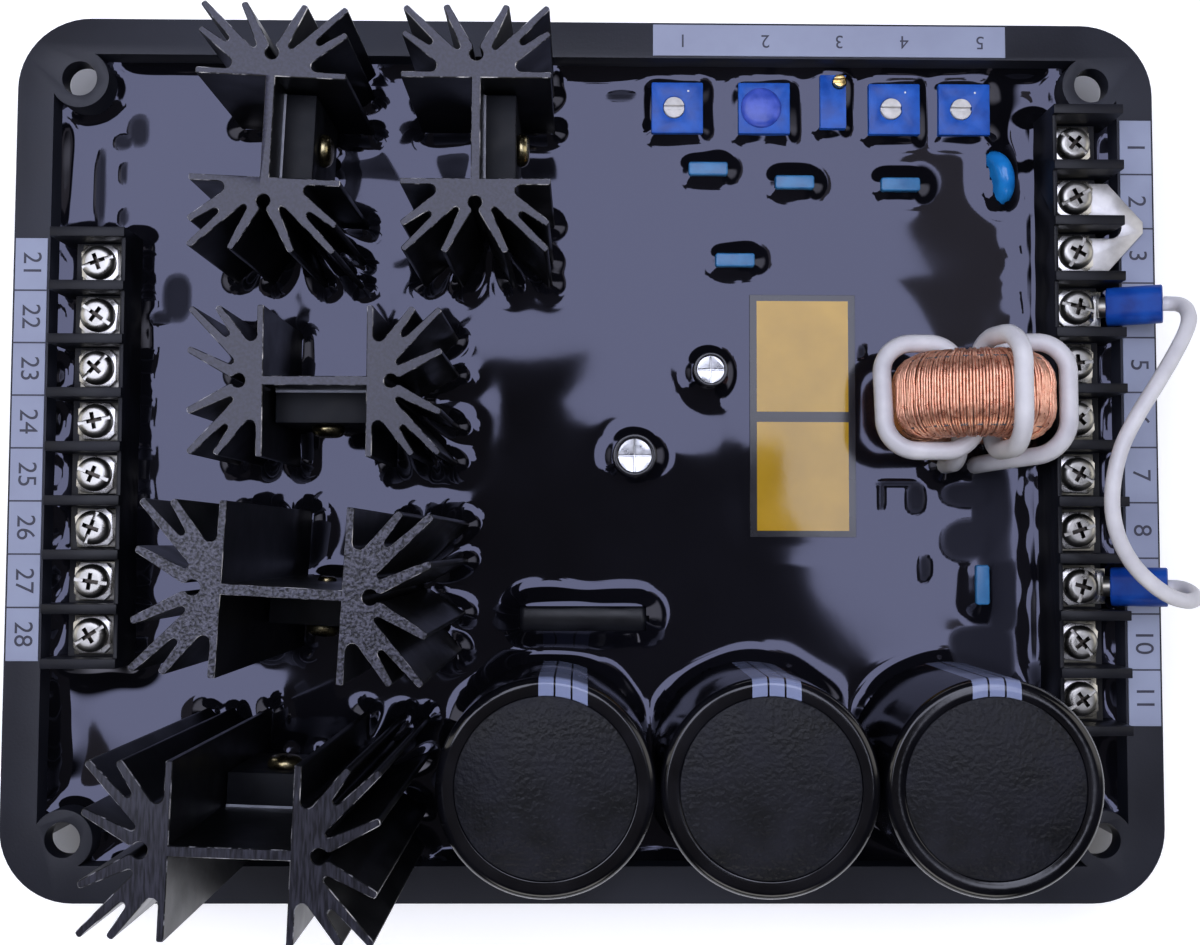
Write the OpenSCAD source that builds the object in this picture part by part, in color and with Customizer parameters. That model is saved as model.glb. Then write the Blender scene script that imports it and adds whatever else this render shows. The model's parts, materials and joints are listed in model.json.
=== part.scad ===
// Potted automatic voltage regulator: a resin-filled tray that carries two barrier terminal strips,
// five finned heat sinks with power devices, filter capacitors, trimmers, a current transformer,
// a link plate and a short jumper lead. Millimetres, +Z up, origin at the centre of the base.

/* [Tray] */
// Outside width of the rim, left to right
tray_w = 205; // [204:0.5:230]
// Outside depth of the rim, front to back
tray_d = 157.5; // [157:0.5:180]
// Height of the rim's top above the base
tray_h = 22; // [20:0.5:26]
// Radius of the rim's outside corners
tray_corner_r = 13; // [10:0.5:16]
// Width of the flat rim
rim_w = 6.5; // [6:0.1:7]
// Thickness of the rim's flange
rim_t = 4; // [3:0.5:6]
// Thickness of the tub's side wall
tub_wall = 2; // [1.6:0.1:2.2]
// Thickness of the tub's floor
floor_t = 2.5; // [2:0.1:4]

/* [Mounting] */
// Distance of the mounting holes from the rim's edge
mount_inset = 11; // [10.6:0.1:11.4]
// Diameter of the mounting holes
mount_hole_d = 6.2; // [4:0.1:6.4]
// Radius of the rim's lobe round each mounting hole
boss_r = 5.3; // [5.2:0.1:5.4]

/* [Board and resin] */
// Height of the posts that hold the board above the floor
post_h = 3.9; // [2:0.1:5]
// Diameter of the board posts
post_d = 6; // [4:0.5:9]
// Thickness of the circuit board
board_t = 1.6; // [1:0.1:2.4]
// Gap between the board's edge and the tub's wall
board_gap = 2; // [1:0.1:3]
// Depth of the resin's surface below the rim
resin_drop = 6; // [4:0.5:7]
// Clearance between cast resin and round pieces
pot_gap = 0.05; // [0.02:0.01:0.2]

/* [Terminal strips] */
// Number of terminals on the left strip
left_ways = 8; // [4:1:8]
// Number of terminals on the right strip
right_ways = 11; // [9:1:11]
// Distance between terminals on the left strip
left_pitch = 9.4; // [9:0.1:10]
// Distance of the right strip's terminals from the tray's front and rear edges
right_end_room = 24.3; // [24.3:0.1:27]
// Thickness of each barrier
barrier_t = 1.7; // [1.2:0.1:1.8]
// Height of the left barriers above the contact plates
left_barrier_h = 5.7; // [5:0.1:8]
// Height of the right barriers above the contact plates
right_barrier_h = 6.7; // [5:0.1:9]
// Length of the barriers outwards from the screws
strip_out = 7.2; // [6:0.1:7.6]
// Length of the strips' floor outwards from the screws
floor_out = 4.7; // [4:0.1:5.5]
// Length of the left strip inwards from the screws
left_in = 5.8; // [5.2:0.1:9]
// Length of the right strip inwards from the screws
right_in = 5.1; // [5.1:0.1:5.4]
// Distance of the left screws from the tray's edge
left_inset = 15.8; // [15:0.1:17]
// Distance of the right screws from the tray's edge
right_inset = 15.2; // [14.8:0.1:15.3]
// Place of the left strip's middle along the depth
left_y = 1; // [-4:0.5:4]
// Place of the right strip's middle along the depth
right_mid = 6.8; // [6.5:0.1:6.9]
// Clearance of a lug on the contact plates above the rim
lug_gap = 0.3; // [0.25:0.05:1]
// Thickness of the contact plates
plate_t = 0.8; // [0.5:0.1:1.2]
// Width of the square clamp washers
washer_w = 6.6; // [5.5:0.1:6.8]
// Thickness of the clamp washers
washer_t = 0.9; // [0.5:0.1:1.2]
// Diameter of the terminal screws' heads
screw_head_d = 6; // [5:0.1:6.4]
// Height of the terminal screws' heads
screw_head_h = 1.9; // [1.5:0.1:2.2]
// Diameter of the terminal screws' threads
screw_d = 3; // [2.5:0.1:3.5]
// Length of the terminal screws under the head
screw_l = 8; // [6:0.5:9]

/* [Heat sinks] */
// Distance between a sink's two pin holes
sink_pin_pitch = 24.3; // [24:0.1:24.6]
// Diameter of the pin holes
sink_hole_d = 2.2; // [1.8:0.1:2.4]
// Thickness of the web between the flanges
sink_web_t = 1.5; // [1.2:0.1:2]
// Width of the flanges
sink_flange_w = 24.3; // [24:0.1:25]
// Thickness of the flanges
sink_flange_t = 1; // [0.8:0.1:1.2]
// Height of the three short sinks
short_sink_h = 40; // [30:1:50]
// Height of the two tall sinks
tall_sink_h = 70; // [50:1:80]
// Height of the solder pins inside the sinks
sink_pin_h = 8; // [5:0.5:12]

/* [Power devices] */
// Width of a power device
device_w = 15.4; // [14:0.1:15.8]
// Thickness of a power device
device_t = 5; // [4.4:0.1:5.2]
// Height of a power device's body
device_h = 20; // [18:0.1:21]
// Distance of the screw from the top of the body
device_hole_drop = 5.9; // [5:0.1:6.5]
// Height of the screws above the board on the short sinks
short_screw_z = 27; // [23:0.5:28]
// Height of the screws above the board on the tall sinks
tall_screw_z = 36; // [24:0.5:40]
// Thickness of the insulating pads behind the devices
pad_t = 0.4; // [0.2:0.1:0.6]
// Diameter of the device screws
device_screw_d = 3; // [2.5:0.1:3.2]
// Diameter of the device screws' heads
device_head_d = 5.6; // [5:0.1:6]
// Length of the device screws under the head
device_screw_l = 7.6; // [7:0.1:9]

/* [Filter capacitors] */
// Diameter of the filter capacitors
cap_d = 35; // [33:0.1:35.2]
// Height of the filter capacitors
cap_h = 40; // [30:1:60]
// Gap between neighbouring filter capacitors
cap_gap = 0.7; // [0.3:0.1:1.5]
// Distance of the last capacitor's middle from the tray's right edge
cap_edge = 37.4; // [37.2:0.1:40]
// Gap between the capacitors and the tub's front wall
cap_wall_gap = 0.5; // [0.3:0.05:1]
// Diameter of the insulating disc on each can
cap_disc_d = 29; // [24:0.5:31]
// Rounding of the sleeve's shrunk edge
cap_edge_r = 1.4; // [0.6:0.1:1.8]

/* [Small capacitors and resistor] */
// Diameter of the first small capacitor
small_cap_1_d = 6.3; // [5:0.1:8]
// Diameter of the second small capacitor
small_cap_2_d = 8; // [6:0.1:10]
// Height of the small capacitors
small_cap_h = 12.5; // [11:0.5:16]
// Thickness of the small capacitors' sleeves
sleeve_wall = 0.3; // [0.2:0.05:0.5]
// Length of the film capacitors
film_l = 7.2; // [6:0.1:9]
// Thickness of the film capacitors
film_t = 2.5; // [2:0.1:4]
// Height of the film capacitors
film_h = 10; // [9:0.5:13]
// Diameter of the disc capacitor
disc_d = 10.4; // [8:0.1:11]
// Thickness of the disc capacitor
disc_t = 3.4; // [2.5:0.1:4.5]
// Diameter of the axial resistor
resistor_d = 8.8; // [8.6:0.1:10]
// Length of the axial resistor
resistor_l = 24; // [18:0.5:30]

/* [Trimmers] */
// Side of the square trimmers
trimmer_w = 9.5; // [8:0.1:10]
// Height of all the trimmers
trimmer_h = 10; // [9:0.5:13]
// Distance of the trimmer row's middle from the tray's rear edge
trimmer_row = 14.3; // [13.5:0.1:16]
// Diameter of the slotted rotors
rotor_d = 3.8; // [3:0.1:5]
// Running clearance round a rotor
rotor_gap = 0.08; // [0.05:0.01:0.1]
// Depth of a rotor's seat in the body
rotor_depth = 2.2; // [1.5:0.1:3]
// Distance of a rotor from the middle of its body
rotor_shift = 0.6; // [0:0.1:1.2]
// Width of the multi-turn trimmer
multi_w = 4.8; // [4.5:0.1:6]
// Length of the multi-turn trimmer
multi_l = 10; // [9.5:0.1:10.5]
// Diameter of the multi-turn trimmer's screw
multi_screw_d = 2.3; // [1.8:0.1:2.4]

/* [Current transformer] */
// Outside diameter of the wound ring
ring_d = 27.6; // [26:0.1:27.8]
// Diameter of the hole through the wound ring
ring_hole_d = 11; // [11:0.1:12]
// Width of the wound ring along its axis
ring_w = 15; // [13:0.1:16]
// Thickness of the copper winding
winding_t = 1.6; // [1.2:0.1:2.2]
// Depth to which the ring is set in the resin
ring_sunk = 0.8; // [0.4:0.1:3]
// Diameter of the insulated lead through the ring
lead_d = 3.2; // [2.6:0.1:3.2]

/* [Link and jumper] */
// Thickness of the link plate and the fork lugs
link_t = 0.8; // [0.5:0.1:1]
// Reach of the link plate outwards from the screws
link_reach = 12.7; // [11:0.1:14]
// Width of the link plate's slot round the barrier
link_slot_w = 4; // [2.4:0.1:5]
// Length of the crimp sleeves
crimp_l = 10.5; // [10.2:0.1:10.5]
// Width of the crimp sleeves
crimp_w = 6.8; // [5:0.1:7]
// Height of the crimp sleeves
crimp_h = 4.6; // [4:0.1:5]
// Diameter of the jumper wire
jumper_d = 2.6; // [2:0.1:3]

/* [Labels] */
// Thickness of the label films
label_t = 0.2; // [0.1:0.05:0.25]
// Width of the rim labels
rim_label_w = 5.7; // [4:0.1:5.8]
// Length of the label on the rear rim
rear_label_l = 64; // [50:1:70]
// Width of the centre label
centre_label_w = 19.4; // [15:0.1:20]
// Depth of the centre label
centre_label_d = 44.5; // [30:0.5:46]

/* [Hidden] */
$fn = 48;
half_w = tray_w / 2;
half_d = tray_d / 2;
tub_w = tray_w - 2 * rim_w;
tub_d = tray_d - 2 * rim_w;
tub_corner_r = tray_corner_r - rim_w;
pocket_r = boss_r - tub_wall;
board_base = floor_t + post_h;
board_top = board_base + board_t;
resin_top = tray_h - resin_drop;
cut = 1;
// Free places on the board are given for a tray of this size, and spread with the real one
plan = [205, 157.5];
spread_x = tray_w / plan[0];
spread_y = tray_d / plan[1];

// Board posts stand this far in from the tub's corners
post_inset = 18;

// Terminal levels: the contact plates' top clears the rim
lug_z = tray_h + lug_gap;
plate_base = lug_z - plate_t;
back_wall_t = 0.8;
back_wall_drop = 1;
plate_side_gap = 0.4;
plate_end_gap = 0.2;
plate_in = 5;
plate_out = washer_w / 2;
plate_lip_t = 0.6;
plate_lip_h = 1.2;
screw_fit = 0.1;
left_x = -half_w + left_inset;
right_x = half_w - right_inset;
right_y = right_mid * spread_y;
right_places = 11;
right_pitch = (tray_d - 2 * right_end_room) / right_places;
// Right-hand terminals that clamp the link plate and the jumper's lugs
link_way = 2;
jumper_ways = [4, 9];
lug_ways = [link_way, link_way + 1, jumper_ways[0], jumper_ways[1]];
function way_y(way, ways, pitch) = ((ways + 1) / 2 - way) * pitch;
function lug_lift(way) = len(search(way, lug_ways)) > 0 ? link_t : 0;

// Capacitors along the front wall, from left to right
cap_y = -half_d + rim_w + cap_d / 2 + cap_wall_gap;
cap_pitch = cap_d + cap_gap;
cap_x = [for (i = [2 : -1 : 0]) half_w - cap_edge - i * cap_pitch];
disc_recess = 0.6;
disc_h = 0.4;

// Heat sinks: corners of a finned end above its pin hole, as [out, along, rounding]
pin_x = sink_pin_pitch / 2;
flange_in = -3.9;
flange_out = flange_in + sink_flange_t;
flange_y = sink_flange_w / 2;
fin_reach = 8.2;
slot_w = 1.2;
slot_root = 1.5;
fin_corners = [
    [flange_in, flange_y, 0.3],
    [flange_out, flange_y, 0.3],
    [flange_out, 4.6, 0.95],
    [3.1, flange_y, 0.4],
    [3.9, flange_y - 0.6, 0.4],
    [-0.6, 4.35, 0.52],
    [fin_reach - 0.7, flange_y - 0.1, 0.4],
    [fin_reach - 0.1, flange_y - 0.9, 0.4],
    [-0.7, 1.7, 0.48],
    [fin_reach - 0.3, 5.5, 0.4],
    [fin_reach, 4.5, 0.4],
    [slot_root, slot_w / 2, 0]
];
sink_reach = pin_x + fin_reach;
sink_wall_gap = 0.6;
rear_sink_y = half_d - rim_w - sink_reach - sink_wall_gap;
// The front sink lies between the corner's lobe and the first capacitor
front_left = -half_w + mount_inset + boss_r;
front_right = cap_x[0] - cap_d / 2;
front_share = 0.809;
front_sink_x = front_left + sink_reach + (front_right - front_left - 2 * sink_reach) * front_share;
front_sink_y = -half_d + 21;
// Each sink as [x, y, height, angle, height of its device's screw]
sinks = [
    [-51.6 * spread_x, rear_sink_y, short_sink_h, 87.5, short_screw_z],
    [-18.1 * spread_x, rear_sink_y, short_sink_h, 90, short_screw_z],
    [-43.5 * spread_x, 10.2 * spread_y, short_sink_h, 0, short_screw_z],
    [-41.8 * spread_x, -22.5 * spread_y, tall_sink_h, -3, tall_screw_z],
    [front_sink_x, front_sink_y, tall_sink_h, 178, tall_screw_z]
];
pin_fit = 0.05;
device_hole_d = device_screw_d + 0.2;
leg_w = 1.2;
leg_t = 0.6;
leg_pitch = 5.45;
leg_y = -sink_web_t / 2 - pad_t - (device_t + leg_t) / 2;
device_head_h = 2;

// Small parts on the board; each film capacitor as [x, y, angle]
small_caps = [
    [22.4 * spread_x, 15.8 * spread_y, small_cap_1_d],
    [8.7 * spread_x, 0.2 * spread_y, small_cap_2_d]
];
sleeve_gap = 0.03;
films = [
    [22.2 * spread_x, 53.2 * spread_y, 0],
    [38.1 * spread_x, 50.8 * spread_y, 0],
    [57.6 * spread_x, 50.5 * spread_y, 0],
    [27.1 * spread_x, 36.3 * spread_y, 0],
    [71.9 * spread_x, -22.9 * spread_y, 90]
];
resistor_lift = 0.4;
resistor_gap = 3.25;
resistor_y = cap_y + (cap_d + resistor_d) / 2 + resistor_gap;
resistor_place = [-0.5 * spread_x, resistor_y, board_top + resistor_d / 2 + resistor_lift];

// Trimmers along the rear edge
trimmer_y = half_d - trimmer_row;
trimmer_x = [for (x = [16.5, 32.5, 56.5, 69.4]) x * spread_x];
trimmer_top = board_top + trimmer_h;
rotor_floor_gap = 0.05;
rotor_proud = 0.3;
rotor_slot_w = 0.7;
rotor_slot_depth = 0.7;
seal_d = 7.6;
seal_h = 0.9;
multi_place = [45.2 * spread_x, trimmer_y + 1.3];
multi_screw_at = [1.1, 3.6];
multi_screw_proud = 1.2;
multi_screw_seat = 3;

// Disc capacitor in front of the trimmers
disc_drop = 12.35;
disc_place = [75.7 * spread_x, trimmer_y - disc_drop, board_top + disc_d / 2 + 2];
disc_turn = 12;
disc_lean = 14;

// Current transformer: the ring stands on edge in the resin, with its axis along Y
ring_gap = 1.1;
ring_x = right_x - right_in - ring_gap - ring_d / 2;
ring_place = [ring_x, 10 * spread_y, resin_top - ring_sunk + ring_d / 2];
winding_r = 3;
lead_wrap_gap = 0.45;
lead_foot = board_top - ring_place[2];
lead_side = ring_d / 2 + lead_d / 2 + lead_wrap_gap;
lead_face = ring_w / 2 + lead_d / 2 + lead_wrap_gap;
lead_tail = lead_face + 1.6;
lead_low = -1.1;
lead_high = 2.6;
lead_in_x = -1.9;
lead_out_x = 3.6;
lead_bend = 5.5;
lead_sides = 8;
// The lead's corners about the ring's middle: three turns through the hole
lead_corners = [
    [lead_in_x, -lead_tail, lead_foot],
    [lead_in_x, -lead_tail, lead_low],
    [lead_in_x, lead_face, lead_low],
    [-lead_side, lead_face, lead_low],
    [-lead_side, -lead_face, lead_high],
    [0, -lead_face, lead_high],
    [0, lead_face, lead_high],
    [3.9, lead_face, lead_side],
    [3.9, -lead_face, lead_side],
    [3.3, -lead_face, lead_low],
    [3.3, lead_face, lead_low],
    [lead_side, lead_face, lead_high],
    [lead_side, -lead_face, lead_high],
    [lead_out_x, -lead_tail, -5],
    [lead_out_x, -lead_tail, lead_foot]
];

// Link plate, fork lugs and crimp sleeves, outwards from the screws
link_half_tongue = 3;
link_taper = 6.4;
link_nose = 1;
link_slot_end = 8.8;
lug_w = 6.2;
lug_heel = 2.6;
crimp_out = 4;
crimp_rise = 2.3;
crimp_tilt = 25;
barrel_d = 3.6;
barrel_l = 6.7;
// Jumper's route from the fourth right-hand terminal to the ninth, chosen by hand about the strip's
// middle on the contact plates, with the way along the strip given in pitches
jumper_sides = 8;
jumper_route = [
    [13.6, 2, 6.8], [14.7, 1.99, 7.4], [15.5, 1.96, 8.5], [15.9, 1.89, 9.9], [15.7, 1.78, 11.6],
    [15.1, 1.62, 13.5], [13.9, 1.42, 15.3], [12.2, 1.17, 16.8], [9.9, 0.83, 18], [7, 0.4, 18.9],
    [3.9, -0.06, 19.4], [1.1, -0.57, 19.7], [-0.5, -1.09, 19.9], [-0.9, -1.62, 19.7], [0.1, -2.12, 19.4],
    [2.5, -2.57, 19.1], [5.9, -2.91, 18.6], [9.3, -3.12, 17.8], [12.2, -3.2, 16.6], [14, -3.2, 15.2],
    [15.2, -3.17, 13.5], [15.8, -3.12, 11.6], [15.9, -3.06, 9.9], [15.5, -3.02, 8.5],
    [14.7, -3, 7.4], [13.6, -3, 6.8]
];

// Labels
rear_label_x = 43.8 * spread_x;
centre_label_at = [39.6 * spread_x, 7.9 * spread_y];
label_inset = 0.4;

// A unit vector
function unit(v) = v / norm(v);
// An arc of the given rounding in place of corner b, between neighbours a and c
function fillet(a, b, c, r, steps = 4) =
    let (u = unit(a - b), v = unit(c - b), half = acos(u * v) / 2, sweep = 180 - 2 * half)
    let (o = b + unit(u + v) * r / sin(half), s = b + u * r / tan(half) - o, e = b + v * r / tan(half) - o)
    [for (i = [0 : steps]) o + (s * sin((1 - i / steps) * sweep) + e * sin(i / steps * sweep)) / sin(sweep)];
// The corners of an open outline, each rounded by its third number
function rounded(list) = [
    for (i = [0 : len(list) - 1])
        let (p = list[i], b = [p[0], p[1]])
        each i == 0 || i == len(list) - 1 || p[2] == 0
            ? [b]
            : fillet([list[i - 1][0], list[i - 1][1]], b, [list[i + 1][0], list[i + 1][1]], p[2])
];
// A smooth path through 3-D corners, each turned by a short curve of the given reach
function softened(list, reach, steps = 4) = [
    list[0],
    for (i = [1 : len(list) - 2])
        let (b = list[i], a = b + unit(list[i - 1] - b) * reach, c = b + unit(list[i + 1] - b) * reach)
        each [for (k = [0 : steps]) let (t = k / steps) a * (1 - t) ^ 2 + b * 2 * t * (1 - t) + c * t ^ 2],
    list[len(list) - 1]
];
// The direction of a path at point i
function heading(path, i) =
    unit(path[min(i + 1, len(path) - 1)] - path[max(i - 1, 0)]);
// A side direction carried along a path, square to each heading
function carried(path, i) =
    let (h = heading(path, i))
    let (n = i == 0 ? cross(h, [0.31, 0.83, 0.46]) : carried(path, i - 1))
    unit(n - h * (n * h));

// A round tube along a path
module tube(path, d, sides) {
    frames = [for (i = [0 : len(path) - 1]) [heading(path, i), carried(path, i)]];
    points = [
        for (i = [0 : len(path) - 1])
            let (n = frames[i][1], m = cross(frames[i][0], n))
            for (k = [0 : sides - 1])
                path[i] + (n * cos(360 * k / sides) + m * sin(360 * k / sides)) * d / 2
    ];
    last = (len(path) - 1) * sides;
    walls = [
        for (i = [0 : len(path) - 2])
            for (k = [0 : sides - 1])
                let (a = i * sides + k, b = i * sides + (k + 1) % sides)
                each [[a, a + sides, b], [b, a + sides, b + sides]]
    ];
    start = [for (k = [0 : sides - 1]) k];
    end = [for (k = [sides - 1 : -1 : 0]) last + k];
    polyhedron(points, concat([start], walls, [end]));
}

// A flat rectangle with rounded corners, centred
module rounded_rect(w, d, r) {
    square([w - 2 * r, d], center = true);
    square([w, d - 2 * r], center = true);
    for (sx = [-1, 1])
        for (sy = [-1, 1])
            translate([sx * (w / 2 - r), sy * (d / 2 - r)])
                circle(r);
}

// Children at the four mounting holes, turned so that local +X points at the tray's corner
module at_mounts() {
    for (sx = [-1, 1])
        for (sy = [-1, 1])
            translate([sx * (half_w - mount_inset), sy * (half_d - mount_inset)])
                rotate(atan2(sy, sx))
                    children();
}

// Children at the four board posts
module at_posts() {
    for (sx = [-1, 1])
        for (sy = [-1, 1])
            translate([sx * (tub_w / 2 - post_inset), sy * (tub_d / 2 - post_inset)])
                children();
}

// Inside of the tub, less the lobes round the mounting holes
module tub_inside(gap = 0) {
    difference() {
        rounded_rect(tub_w - 2 * gap, tub_d - 2 * gap, tub_corner_r - gap);
        at_mounts()
            circle(boss_r + gap);
    }
}

// Outside of the tub: each corner has a pocket under its mounting hole, open to the corner
module tub_outside() {
    difference() {
        rounded_rect(tub_w + 2 * tub_wall, tub_d + 2 * tub_wall, tub_corner_r + tub_wall);
        at_mounts() {
            circle(pocket_r);
            translate([0, -pocket_r])
                square([tray_corner_r, 2 * pocket_r]);
        }
    }
}

// Moulded tray: tub, flange and board posts
module tray() {
    color("#2b2c33") {
        difference() {
            union() {
                linear_extrude(tray_h)
                    tub_outside();
                translate([0, 0, tray_h - rim_t])
                    linear_extrude(rim_t)
                        rounded_rect(tray_w, tray_d, tray_corner_r);
            }
            translate([0, 0, floor_t])
                linear_extrude(tray_h)
                    tub_inside();
            at_mounts()
                translate([0, 0, -cut])
                    cylinder(d = mount_hole_d, h = tray_h + 2 * cut);
        }
        at_posts()
            translate([0, 0, floor_t])
                cylinder(d = post_d, h = post_h);
    }
}

// Outline of the circuit board, clear of the mounting lobes
module board_outline() {
    difference() {
        square([tub_w - 2 * board_gap, tub_d - 2 * board_gap], center = true);
        at_mounts()
            circle(boss_r + board_gap);
    }
}

// Circuit board, drilled for the sinks' solder pins
module circuit_board() {
    color("#1f5130")
        difference() {
            translate([0, 0, board_base])
                linear_extrude(board_t)
                    board_outline();
            at_sink_pins()
                translate([0, 0, board_base - cut])
                    cylinder(d = sink_hole_d - pin_fit, h = board_t + 2 * cut);
        }
}

// Flat shapes of all that stands on the board and passes up through the resin
module potted_feet() {
    for (x = cap_x)
        translate([x, cap_y])
            circle(d = cap_d + 2 * pot_gap);
    for (c = small_caps)
        translate([c[0], c[1]])
            circle(d = c[2] + 2 * pot_gap);
    for (i = [1 : len(films)])
        film_outline(i);
    for (x = trimmer_x)
        translate([x, trimmer_y])
            square(trimmer_w, center = true);
    translate(multi_place)
        square([multi_w, multi_l], center = true);
    for (s = sinks)
        translate([s[0], s[1]])
            rotate(s[3]) {
                sink_outline();
                for (leg = [-1 : 1])
                    translate([leg * leg_pitch - leg_w / 2, leg_y])
                        square([leg_w, leg_t]);
            }
    left_strip()
        strip_outline(left_ways, left_pitch, left_in);
    right_strip()
        strip_outline(right_ways, right_pitch, right_in);
    for (x = [lead_in_x, lead_out_x])
        translate([ring_place[0] + x, ring_place[1] - lead_tail])
            circle(d = lead_d + 2 * pot_gap);
}

// Cast resin: under the board, round its edge and over it, with hollows for what lies half sunk
module potting_resin() {
    color("#15151c")
        difference() {
            union() {
                translate([0, 0, floor_t])
                    linear_extrude(post_h)
                        difference() {
                            tub_inside(pot_gap);
                            at_posts()
                                circle(d = post_d + 2 * pot_gap);
                        }
                translate([0, 0, board_base])
                    linear_extrude(board_t)
                        difference() {
                            tub_inside(pot_gap);
                            board_outline();
                        }
                translate([0, 0, board_top])
                    linear_extrude(resin_top - board_top)
                        difference() {
                            tub_inside(pot_gap);
                            potted_feet();
                        }
            }
            at_ring()
                rotate([90, 0, 0])
                    cylinder(d = ring_d + 2 * pot_gap, h = ring_w + 2 * pot_gap, center = true);
            at_disc()
                cylinder(d = disc_d + 2 * pot_gap, h = disc_t + 2 * pot_gap, center = true);
            translate(resistor_place)
                rotate([0, 90, 0])
                    cylinder(d = resistor_d + 2 * pot_gap, h = resistor_l + 2 * pot_gap, center = true);
        }
}

// Children in the left strip's frame: local +X points out of the tray
module left_strip() {
    translate([left_x, left_y])
        rotate(180)
            children();
}

// Children in the right strip's frame: local +X points out of the tray
module right_strip() {
    translate([right_x, right_y])
        children();
}

// Flat shape of a strip: its floor and the barriers that reach past it
module strip_outline(ways, pitch, reach_in) {
    l = ways * pitch + barrier_t;
    translate([-reach_in, -l / 2])
        square([reach_in + floor_out, l]);
    for (i = [0 : ways])
        translate([-reach_in, (i - ways / 2) * pitch - barrier_t / 2])
            square([reach_in + strip_out, barrier_t]);
}

// Moulded barrier strip with its back wall and screw holes
module strip_block(ways, pitch, reach_in, barrier_h) {
    l = ways * pitch + barrier_t;
    top = lug_z + barrier_h;
    color("#1d1d22")
        difference() {
            union() {
                translate([0, 0, board_top])
                    linear_extrude(plate_base - board_top)
                        strip_outline(ways, pitch, reach_in);
                for (i = [0 : ways])
                    translate([-reach_in, (i - ways / 2) * pitch - barrier_t / 2, plate_base])
                        cube([reach_in + strip_out, barrier_t, top - plate_base]);
                translate([-reach_in, -l / 2, plate_base])
                    cube([back_wall_t, l, top - back_wall_drop - plate_base]);
            }
            for (way = [1 : ways])
                translate([0, way_y(way, ways, pitch), plate_base - screw_l])
                    cylinder(d = screw_d + 2 * screw_fit, h = screw_l + cut);
        }
}

// Nickel contact plates with an upturned inner lip, one in each bay
module strip_plates(ways, pitch, reach_in) {
    w = pitch - barrier_t - 2 * plate_side_gap;
    start = -min(plate_in, reach_in - back_wall_t - plate_end_gap);
    color("#c9c9c4")
        for (way = [1 : ways])
            translate([0, way_y(way, ways, pitch), plate_base])
                difference() {
                    translate([start, -w / 2, 0]) {
                        cube([plate_out - start, w, plate_t]);
                        cube([plate_lip_t, w, plate_t + plate_lip_h]);
                    }
                    translate([0, 0, -cut])
                        cylinder(d = screw_d + 2 * screw_fit, h = plate_t + 2 * cut);
                }
}

// Square clamp washers, lifted where a lug lies under them
module strip_washers(ways, pitch, lifted) {
    color("#d2d2cd")
        for (way = [1 : ways])
            translate([0, way_y(way, ways, pitch), lug_z + (lifted ? lug_lift(way) : 0)])
                difference() {
                    translate([-washer_w / 2, -washer_w / 2, 0])
                        cube([washer_w, washer_w, washer_t]);
                    translate([0, 0, -cut])
                        cylinder(d = screw_d + 2 * screw_fit, h = washer_t + 2 * cut);
                }
}

// Domed cross-head screws
module strip_screws(ways, pitch, lifted) {
    recess_w = 0.9;
    recess_l = screw_head_d * 0.6;
    recess_h = screw_head_h * 0.6;
    edge_h = screw_head_h * 0.55;
    color("#d8d8d4")
        for (way = [1 : ways])
            translate([0, way_y(way, ways, pitch), lug_z + washer_t + (lifted ? lug_lift(way) : 0)])
                difference() {
                    rotate_extrude()
                        polygon([[0, -screw_l], [screw_d / 2, -screw_l], [screw_d / 2, 0],
                            [screw_head_d / 2, 0], [screw_head_d / 2, edge_h],
                            [screw_head_d * 0.4, screw_head_h * 0.85],
                            [screw_head_d * 0.22, screw_head_h], [0, screw_head_h]]);
                    for (turn = [0, 90])
                        rotate(turn + 7 * way)
                            translate([-recess_l / 2, -recess_w / 2, screw_head_h - recess_h])
                                cube([recess_l, recess_w, recess_h + cut]);
                }
}

module left_terminal_block() {
    left_strip()
        strip_block(left_ways, left_pitch, left_in, left_barrier_h);
}

module left_terminal_plates() {
    left_strip()
        strip_plates(left_ways, left_pitch, left_in);
}

module left_terminal_washers() {
    left_strip()
        strip_washers(left_ways, left_pitch, false);
}

module left_terminal_screws() {
    left_strip()
        strip_screws(left_ways, left_pitch, false);
}

module right_terminal_block() {
    right_strip()
        strip_block(right_ways, right_pitch, right_in, right_barrier_h);
}

module right_terminal_plates() {
    right_strip()
        strip_plates(right_ways, right_pitch, right_in);
}

module right_terminal_washers() {
    right_strip()
        strip_washers(right_ways, right_pitch, true);
}

module right_terminal_screws() {
    right_strip()
        strip_screws(right_ways, right_pitch, true);
}

// Children in the frame of heat sink i, on the board: local X along the pin holes, device at local -Y
module at_sink(i) {
    translate([sinks[i - 1][0], sinks[i - 1][1], board_top])
        rotate(sinks[i - 1][3])
            children();
}

// Children at every solder pin
module at_sink_pins() {
    for (i = [1 : len(sinks)])
        for (side = [-1, 1])
            translate([sinks[i - 1][0], sinks[i - 1][1]])
                rotate(sinks[i - 1][3])
                    translate([side * pin_x, 0])
                        children();
}

// Cross-section of the extrusion with its pin holes closed
module sink_outline() {
    half = [for (p = rounded(fin_corners)) p + [pin_x, 0]];
    mirrored = [for (i = [len(half) - 1 : -1 : 0]) [half[i][0], -half[i][1]]];
    web = [[pin_x + flange_in, -sink_web_t / 2], [-pin_x - flange_in, -sink_web_t / 2]];
    right = concat(half, mirrored, web);
    polygon(concat(right, -right));
}

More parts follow.
